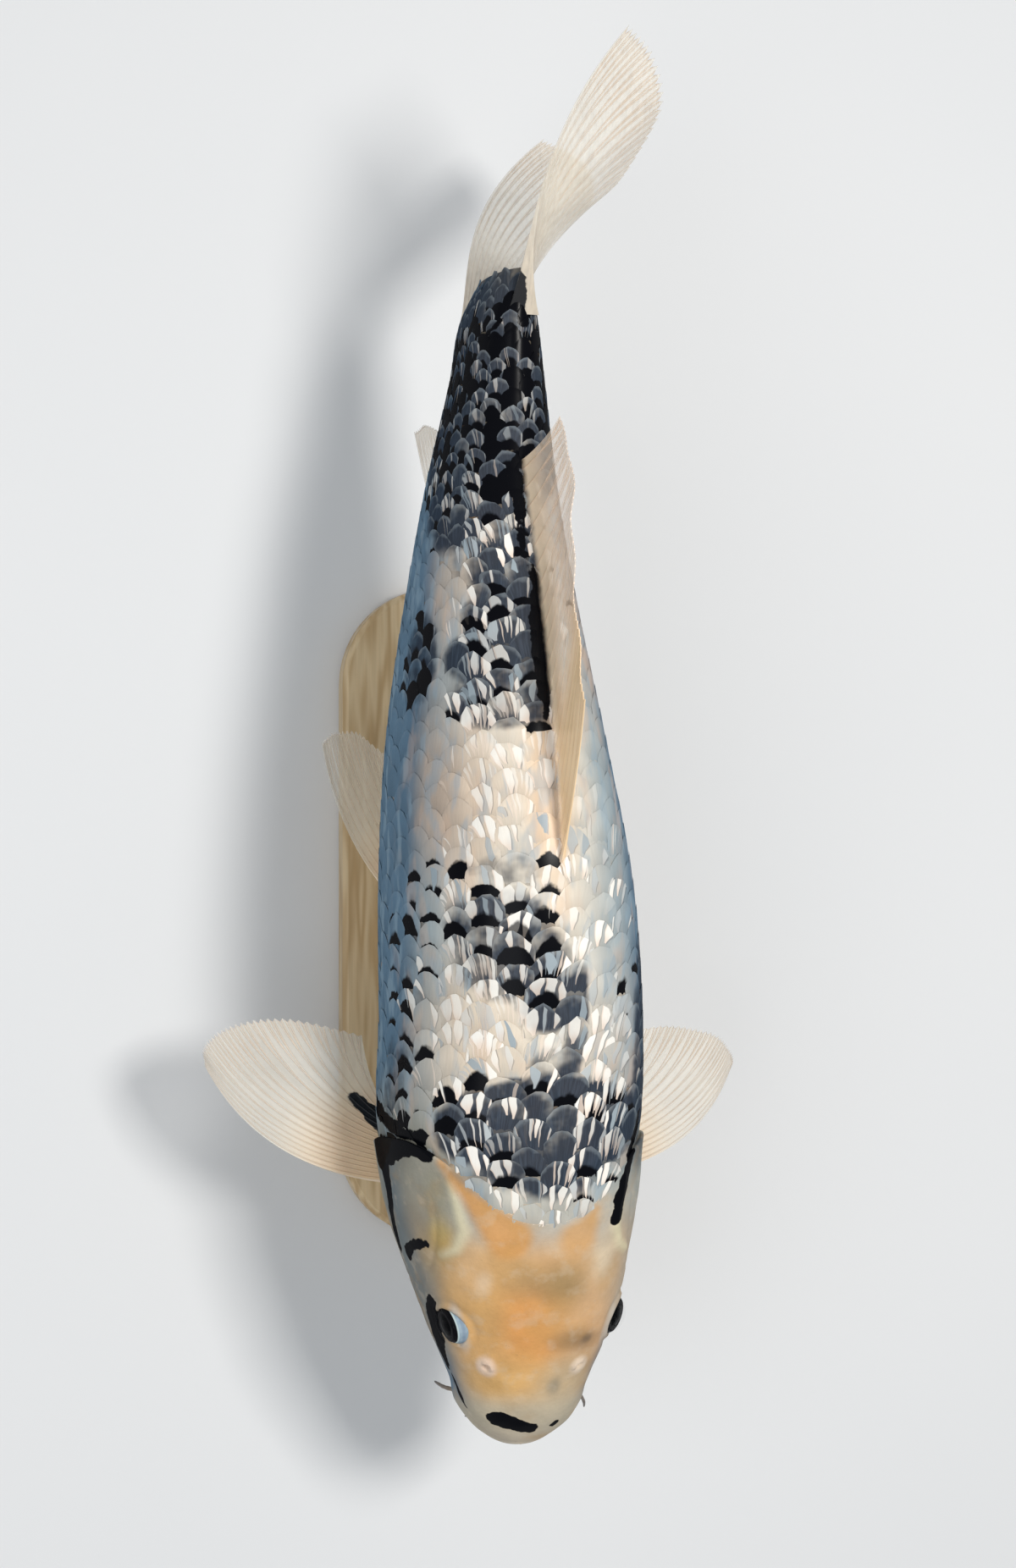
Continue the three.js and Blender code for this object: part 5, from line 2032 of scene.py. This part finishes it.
@dataclass(frozen=True)
class Blade:
    """How a fin's thin blade is made: its rays, its grid and its thickness.

    Attributes:
        rays, per_ray: how many rays it has, and the grid's columns for each.
        rows: grid rows from root to edge.
        root_thick, tip_thick: its thickness at the root and at the edge.
        ridge: how far the rays stand over the web.
        wave, waves: how far the edge waves, and how many waves run along it.
        notch: how deep the edge is notched between rays, as a share of the reach.
        branch_at: the reach at which rays fork.
    """

    rays: int
    rows: int
    root_thick: float
    per_ray: int = 8
    tip_thick: float = 0.45
    ridge: float = 0.2
    wave: float = 0.8
    waves: float = 3.0
    notch: float = 0.012
    branch_at: float = 0.42

    def shape(self, place: Sheet) -> Shape:
        """The closed blade round a middle surface.

        The thickness falls from root to edge by a sixth power. The rays are ridges that fork: a bell
        of the distance to the nearest ray or branch. The edge waves and is notched between rays.

        Args:
            place: the middle surface: a function of (ray share, reach share) that gives points.

        Returns:
            The mesh with its map lie, which holds ray number and reach.
        """
        r = np.linspace(0, 1, self.rays * self.per_ray + 1)
        t = np.linspace(0, 1, self.rows + 1) ** 0.9
        reach, ray = np.meshgrid(t, r, indexing="ij")
        number = ray * self.rays
        notch = self.notch * (1 - np.cos(2 * math.pi * number * 2)) * ease(0.8, 1, reach)
        full = reach * (1 - notch)
        middle = place(ray, full)
        across = np.gradient(middle, axis=1)
        out = np.gradient(middle, axis=0)
        normal = unit(np.cross(across, out))
        away = np.abs(number % 1 - 0.5)
        away = np.abs(away - 0.25 * ease(self.branch_at, 1.05, reach))
        ridge = self.ridge * bell(away, 0.11) * (1 - 0.6 * reach)
        thick = self.tip_thick + (self.root_thick - self.tip_thick) * (1 - reach) ** 6
        wave = self.wave * reach**2 * np.sin(2 * math.pi * self.waves * ray + 3 * reach)
        middle = middle + normal * wave[..., None]
        half = (thick / 2 + ridge)[..., None]
        points, faces, crisp = shell(middle + normal * half, middle - normal * half)
        lie = np.stack([number, reach], -1).reshape(-1, 2)
        lie = np.concatenate([lie, lie])[faces]
        return Shape(points, [faces], {"lie": [lie]}, {}, crisp)


class Fins:
    """The eight fins, on the same roots and edges as the solids.

    Roots are the first and last ray's, edges run from the first ray's tip to the last one's, and
    both are given as (x, share of the length, height over the axis).

    Attributes:
        pectoral_swept: how far each side's pectoral edge is moved from the common one.
        tail_swing: the powers by which a tail lobe's first and last ray swing aside.
        shoulder_stain, tail_stain: the black lines at the root of the right pectoral fin and of the
            tail's upper lobe, with a half-width at each end.
        sunk: how far a ridge fin's root lies under the skin.
        ridge_bow: how far its rays bow forward and out.
    """

    pectoral_root = ((45, 0.228, -41), (44, 0.288, -49))
    pectoral_edge = (
        (126, 0.329, -57), (126, 0.346, -58), (114, 0.363, -58), (88, 0.369, -56), (53, 0.353, -53),
    )
    pectoral_bow = (20, -20, 7)
    pectoral_swept = {Side.LEFT: (0, -0.008, 0), Side.RIGHT: (3, 0.006, 0)}
    pelvic_root = ((36, 0.475, -60), (17, 0.512, -70))
    pelvic_edge = ((68, 0.624, -86), (61, 0.634, -89), (48, 0.632, -92), (33, 0.606, -92))
    pelvic_bow = (11, -9, -4)
    dorsal_span = (0.503, 0.862)
    dorsal_edge = ((5, 0.655, 106), (4, 0.72, 98), (5, 0.79, 88), (8, 0.85, 77), (6, 0.896, 64))
    anal_span = (0.772, 0.838)
    anal_edge = ((-24, 0.912, -82), (-20, 0.917, -74), (-14, 0.905, -62))
    tail_roots = {
        "upper": ((-2, 0.99, 33), (3, 1.0, 0.4)),
        "lower": ((-9, 0.99, -33), (3, 1.0, -0.4)),
    }
    tail_edges = {
        "upper": (
            (34, 1.224, 75), (47, 1.203, 69), (55, 1.163, 55), (48, 1.12, 27), (34, 1.094, 0.4),
        ),
        "lower": (
            (36, 1.184, -68), (47, 1.172, -61), (54, 1.145, -47), (47, 1.112, -25), (34, 1.094, -0.4),
        ),
    }
    tail_swing = (2.8, 1.4)
    shoulder_stain = (((-45, 0.274, -47), (-61, 0.303, -50)), (5.5, 3.0))
    tail_stain = (((-9, 0.975, 31), (-6, 1.018, 37)), (8.0, 5.0))
    sunk = 4.0
    ridge_bow = 3.0

    def __init__(self, body: Body) -> None:
        """Keeps the body that the fins grow from."""
        self.body = body

    def paired(self, root: Spots, edge: Spots, bow: tuple[float, ...], side: Side) -> Sheet:
        """The middle surface of a pectoral or pelvic fin: straight rays from root to edge, each pushed
        out by 2t(1 - t) of a bow that fades from the first ray to the last.

        Args:
            root: the roots on the fish's left.
            edge: spots along the free edge.
            bow: the direction and size of the push.
            side: the side that the fin is on.

        Returns:
            The surface as a function.
        """
        roots, rim = self.body.spot(root), self.body.spot(edge)
        push = np.array(bow, float)
        flip = np.array([side.value, 1, 1])

        def place(r: Array, t: Array) -> Array:
            """The point on ray r at reach t."""
            start = lerp(roots[0], roots[1], r[..., None])
            bend = (1 - 0.8 * r) * 2 * t * (1 - t)
            return (lerp(start, through(rim, r), t[..., None]) + push * bend[..., None]) * flip

        return place

    def ridge(self, span: tuple[float, float], edge: Spots, share: float) -> Sheet:
        """The middle surface of a fin on the back's or the belly's ridge, its root sunk in it.

        Args:
            span: the first and last ray's shares of the length.
            edge: spots along the free edge.
            share: the ridge's share of the girth, 0 on the back and 0.5 on the belly.

        Returns:
            The surface as a function.
        """
        rim = self.body.spot(edge)
        bow = np.array([0, -self.ridge_bow, self.ridge_bow * math.copysign(1, 0.25 - share)])

        def place(r: Array, t: Array) -> Array:
            """The point on ray r at reach t."""
            at = lerp(span[0], span[1], r)
            base, _, _, normal = self.body.axes(at, np.full(at.shape, share))
            push = bow * (2 * t * (1 - t))[..., None]
            return lerp(base - normal * self.sunk, through(rim, r), t[..., None]) + push

        return place

    def tail(self, root: Spots, edge: Spots) -> Sheet:
        """The middle surface of a tail lobe: its rays swing aside late, by a power of the reach.

        Args:
            root: the first and last ray's roots.
            edge: spots along the free edge.

        Returns:
            The surface as a function.
        """
        roots, rim = self.body.spot(root), self.body.spot(edge)

        def place(r: Array, t: Array) -> Array:
            """The point on ray r at reach t."""
            start, stop = lerp(roots[0], roots[1], r[..., None]), through(rim, r)
            points = lerp(start, stop, t[..., None])
            swing = t ** lerp(self.tail_swing[0], self.tail_swing[1], r)
            points[..., 0] = lerp(start[..., 0], stop[..., 0], swing)
            return points

        return place

    def fin(
        self, node: str, blade: Blade, place: Sheet, finish: Material, stain: Stain | None = None
    ) -> None:
        """Builds one fin in the place of its solid.

        Args:
            node: the solid's name.
            blade: how the fin is made.
            place: its middle surface.
            finish: its material.
            stain: the black line on it, if it has one.
        """
        shape = blade.shape(place)
        spots = np.column_stack([self.body.spot(stain[0]), stain[1]]) if stain else np.zeros((0, 4))
        shape.values["ink"] = inside_line(spots, shape.points)
        shape.make(node + "_blade", finish, "fin", node)

    def make(self) -> None:
        """Builds each fin in its finish."""
        paired = FinFinish("paired fins").make()
        wide = Blade(rays=17, rows=40, root_thick=8, wave=0.9)
        small = Blade(rays=10, rows=30, root_thick=5, wave=0.7)
        for side in Side:
            name = side.name.lower()
            edge = np.array(self.pectoral_edge) + np.array(self.pectoral_swept[side])
            place = self.paired(self.pectoral_root, edge, self.pectoral_bow, side)
            stain = self.shoulder_stain if side is Side.RIGHT else None
            self.fin("pectoral_fin_" + name, wide, place, paired, stain)
            place = self.paired(self.pelvic_root, self.pelvic_edge, self.pelvic_bow, side)
            self.fin("pelvic_fin_" + name, small, place, paired)
        # Pale peach, partly the dorsal fin's own and partly painted glow of light through the thin fin.
        upright = FinFinish(
            "dorsal fin", root=(255, 228, 196), web=(252, 228, 204), ray=(222, 178, 138),
            clear=0.3, glow=(255, 216, 168), glow_rays=9, soft_root=0.24,
        ).make()
        long = Blade(rays=20, rows=32, root_thick=3, waves=4)
        self.fin("dorsal_fin", long, self.ridge(self.dorsal_span, self.dorsal_edge, 0.0), upright)
        short = Blade(rays=8, rows=28, root_thick=5, wave=0.6, waves=1.5)
        self.fin("anal_fin", short, self.ridge(self.anal_span, self.anal_edge, 0.5), paired)
        threaded = FinFinish("tail fin", root=(212, 200, 182), grain=0.5).make()
        lobe = Blade(rays=13, rows=48, root_thick=14, ridge=0.22, wave=0.9, waves=2)
        for half, root in self.tail_roots.items():
            stain = self.tail_stain if half == "upper" else None
            self.fin("tail_fin_" + half, lobe, self.tail(root, self.tail_edges[half]), threaded, stain)


# ---------------------------------------------------------------- stand and studio


class Stand:
    """The display stand: the frame's own board and rods, with their finishes."""

    def make(self) -> None:
        """Puts the finishes on the board and the rods."""
        wood, steel = WoodFinish().make(), SteelFinish().make()
        finishes = {"stand_base": wood, "stand_rod_front": steel, "stand_rod_rear": steel}
        for node, finish in finishes.items():
            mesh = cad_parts[node].data
            mesh.materials.clear()
            mesh.materials.append(finish)
            LOG.info("%s: finished", node)


@dataclass(frozen=True)
class Lamp:
    """A square soft lamp, in metres and watts."""

    name: str
    place: tuple[float, float, float]
    size: float
    power: float
    colour: tuple[float, float, float]

    def make(self, target: Vector) -> None:
        """Adds the lamp and turns it to the target."""
        data = bpy.data.lights.new(self.name, "AREA")
        data.size = self.size
        data.energy = self.power
        data.color = self.colour
        lamp = place_object(self.name, data)
        turn = (target - Vector(self.place)).to_track_quat("-Z", "Y").to_matrix().to_4x4()
        lamp.matrix_world = Matrix.Translation(Vector(self.place)) @ turn


@dataclass(frozen=True)
class Studio:
    """A pale floor, soft light and the camera above the fish, in metres.

    Attributes:
        target: what the camera looks at.
        distance: how far the camera is from it.
        tilt: degrees that the camera leans to the fish's right.
        lens, sensor: focal length and the sensor's height in millimetres.
        clip: the nearest and farthest that the camera sees.
        floor_size, floor_cells: the floor's width, and its cells along each side.
        room, room_strength: the colour of the room's light, and how strong it is.
    """

    target: tuple[float, float, float] = (0.0, 0.0635, 0.145)
    distance: float = 1.4
    tilt: float = 15
    lens: float = 47.44
    sensor: float = 24
    clip: tuple[float, float] = (0.05, 30)
    floor_size: float = 6.0
    floor_cells: int = 8
    room: tuple[float, float, float] = (0.92, 0.96, 1.0)
    room_strength: float = 0.36
    lamps: tuple[Lamp, ...] = (
        Lamp("key", (0.5, 0.35, 2.0), 0.45, 25, (1.0, 0.97, 0.93)),
        Lamp("fill", (-1.1, -0.3, 1.6), 1.2, 8.5, (0.96, 0.98, 1.0)),
    )

    def camera(self) -> None:
        """Places the camera: it looks down, leaning, with the tail at the top of the view."""
        lean = math.radians(self.tilt)
        right = Vector((math.cos(lean), 0, math.sin(lean)))
        back = Vector((-math.sin(lean), 0, math.cos(lean)))
        data = bpy.data.cameras.new("camera")
        data.sensor_fit = "VERTICAL"
        data.sensor_height = self.sensor
        data.lens = self.lens
        data.clip_start, data.clip_end = self.clip
        camera = place_object("camera", data)
        turn = Matrix((right, Vector((0, 1, 0)), back)).transposed().to_4x4()
        camera.matrix_world = Matrix.Translation(Vector(self.target) + back * self.distance) @ turn
        bpy.context.scene.camera = camera

    def floor(self) -> None:
        """Lays the pale floor, a flat grid."""
        half, rows = self.floor_size / 2 / MM, self.floor_cells + 1
        steps = np.linspace(-half, half, rows)
        y, x = np.meshgrid(steps, steps, indexing="ij")
        points = np.stack([x, y, 0 * x], -1).reshape(-1, 3)
        mesh = bpy.data.meshes.new("floor")
        faces = cells(np.arange(rows * rows).reshape(rows, rows))
        mesh.from_pydata((points * MM).tolist(), [], faces.tolist())
        mesh.materials.append(FloorFinish().make())
        place_object("floor", mesh)

    def world(self) -> None:
        """Fills the room with even pale light."""
        world = bpy.data.worlds.new("room")
        world.use_nodes = True
        ground = world.node_tree.nodes["Background"]
        ground.inputs["Color"].default_value = (*self.room, 1)
        ground.inputs["Strength"].default_value = self.room_strength
        bpy.context.scene.world = world

    def make(self) -> None:
        """Sets up camera, floor, room and lamps, and the plain view."""
        self.camera()
        self.floor()
        self.world()
        for lamp in self.lamps:
            lamp.make(Vector(self.target))
        bpy.context.scene.view_settings.view_transform = "Standard"


# ---------------------------------------------------------------- the whole model


SNOUT_Y = -237.0
# Where both solid eyes' middles lie on the skin, in the form of EYE_SPOTS, and how much deeper than
# there the dressed eyes are sunk.
SOLID_EYE = (0.1155, 14.0)
EYE_SUNK = 1.2
# How far each eye's axis is turned sideways, or below 0, up.
EYE_TURNS = {Side.LEFT: -0.3, Side.RIGHT: 0.66}
BARBELS = (
    Barbel("barbel_front_left", 17, 0.024, -16, 8, -0.006, 9, 1.8),
    Barbel("barbel_front_right", -17, 0.024, -16, -6, -0.003, 9, 1.8),
    Barbel("barbel_rear_left", 24, 0.042, -20, 13, -0.022, 13, 2.6),
    Barbel("barbel_rear_right", -24, 0.046, -20, -10, 0.004, 15, 2.6),
)


def eye_middle(body: Body, side: Side) -> Array:
    """An eye's middle: its solid's, moved along the skin to the eye's own spot, and sunk.

    Args:
        body: the body that it lies in.
        side: which eye.

    Returns:
        The place in millimetres.
    """
    low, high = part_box("eye_" + side.name.lower())
    solid_at, solid_high = SOLID_EYE
    solid_spot = body.point(solid_at, body.beside(solid_at, side.value, solid_high))
    spot, _, _, outward = body.axes(*body.eye_spot(side))
    return np.array((low + high) / 2) / MM + spot - solid_spot - EYE_SUNK * outward


def main() -> None:
    logging.basicConfig(level=logging.INFO, format="%(name)s %(message)s")
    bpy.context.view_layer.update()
    Studio().make()
    Stand().make()
    body = Body(SNOUT_Y)
    gill = GillEdge()
    markings = Markings(body)
    skin = Skin(body, gill, markings)
    skin.make(HeadRelief(body), SkinFinish().make())
    Coat(body, gill, markings, skin).make(ScaleFinish().make())
    ball, clear = EyeFinish().make(), ClearFinish().make()
    for side in Side:
        eye = Eye(body, side, eye_middle(body, side), EYE_TURNS[side])
        eye.ball(ball)
        eye.dome(clear)
    feeler = BarbelFinish().make()
    for barbel in BARBELS:
        barbel.make(body, feeler)
    Fins(body).make()
    bpy.context.view_layer.update()


if __name__ == "__main__":
    main()
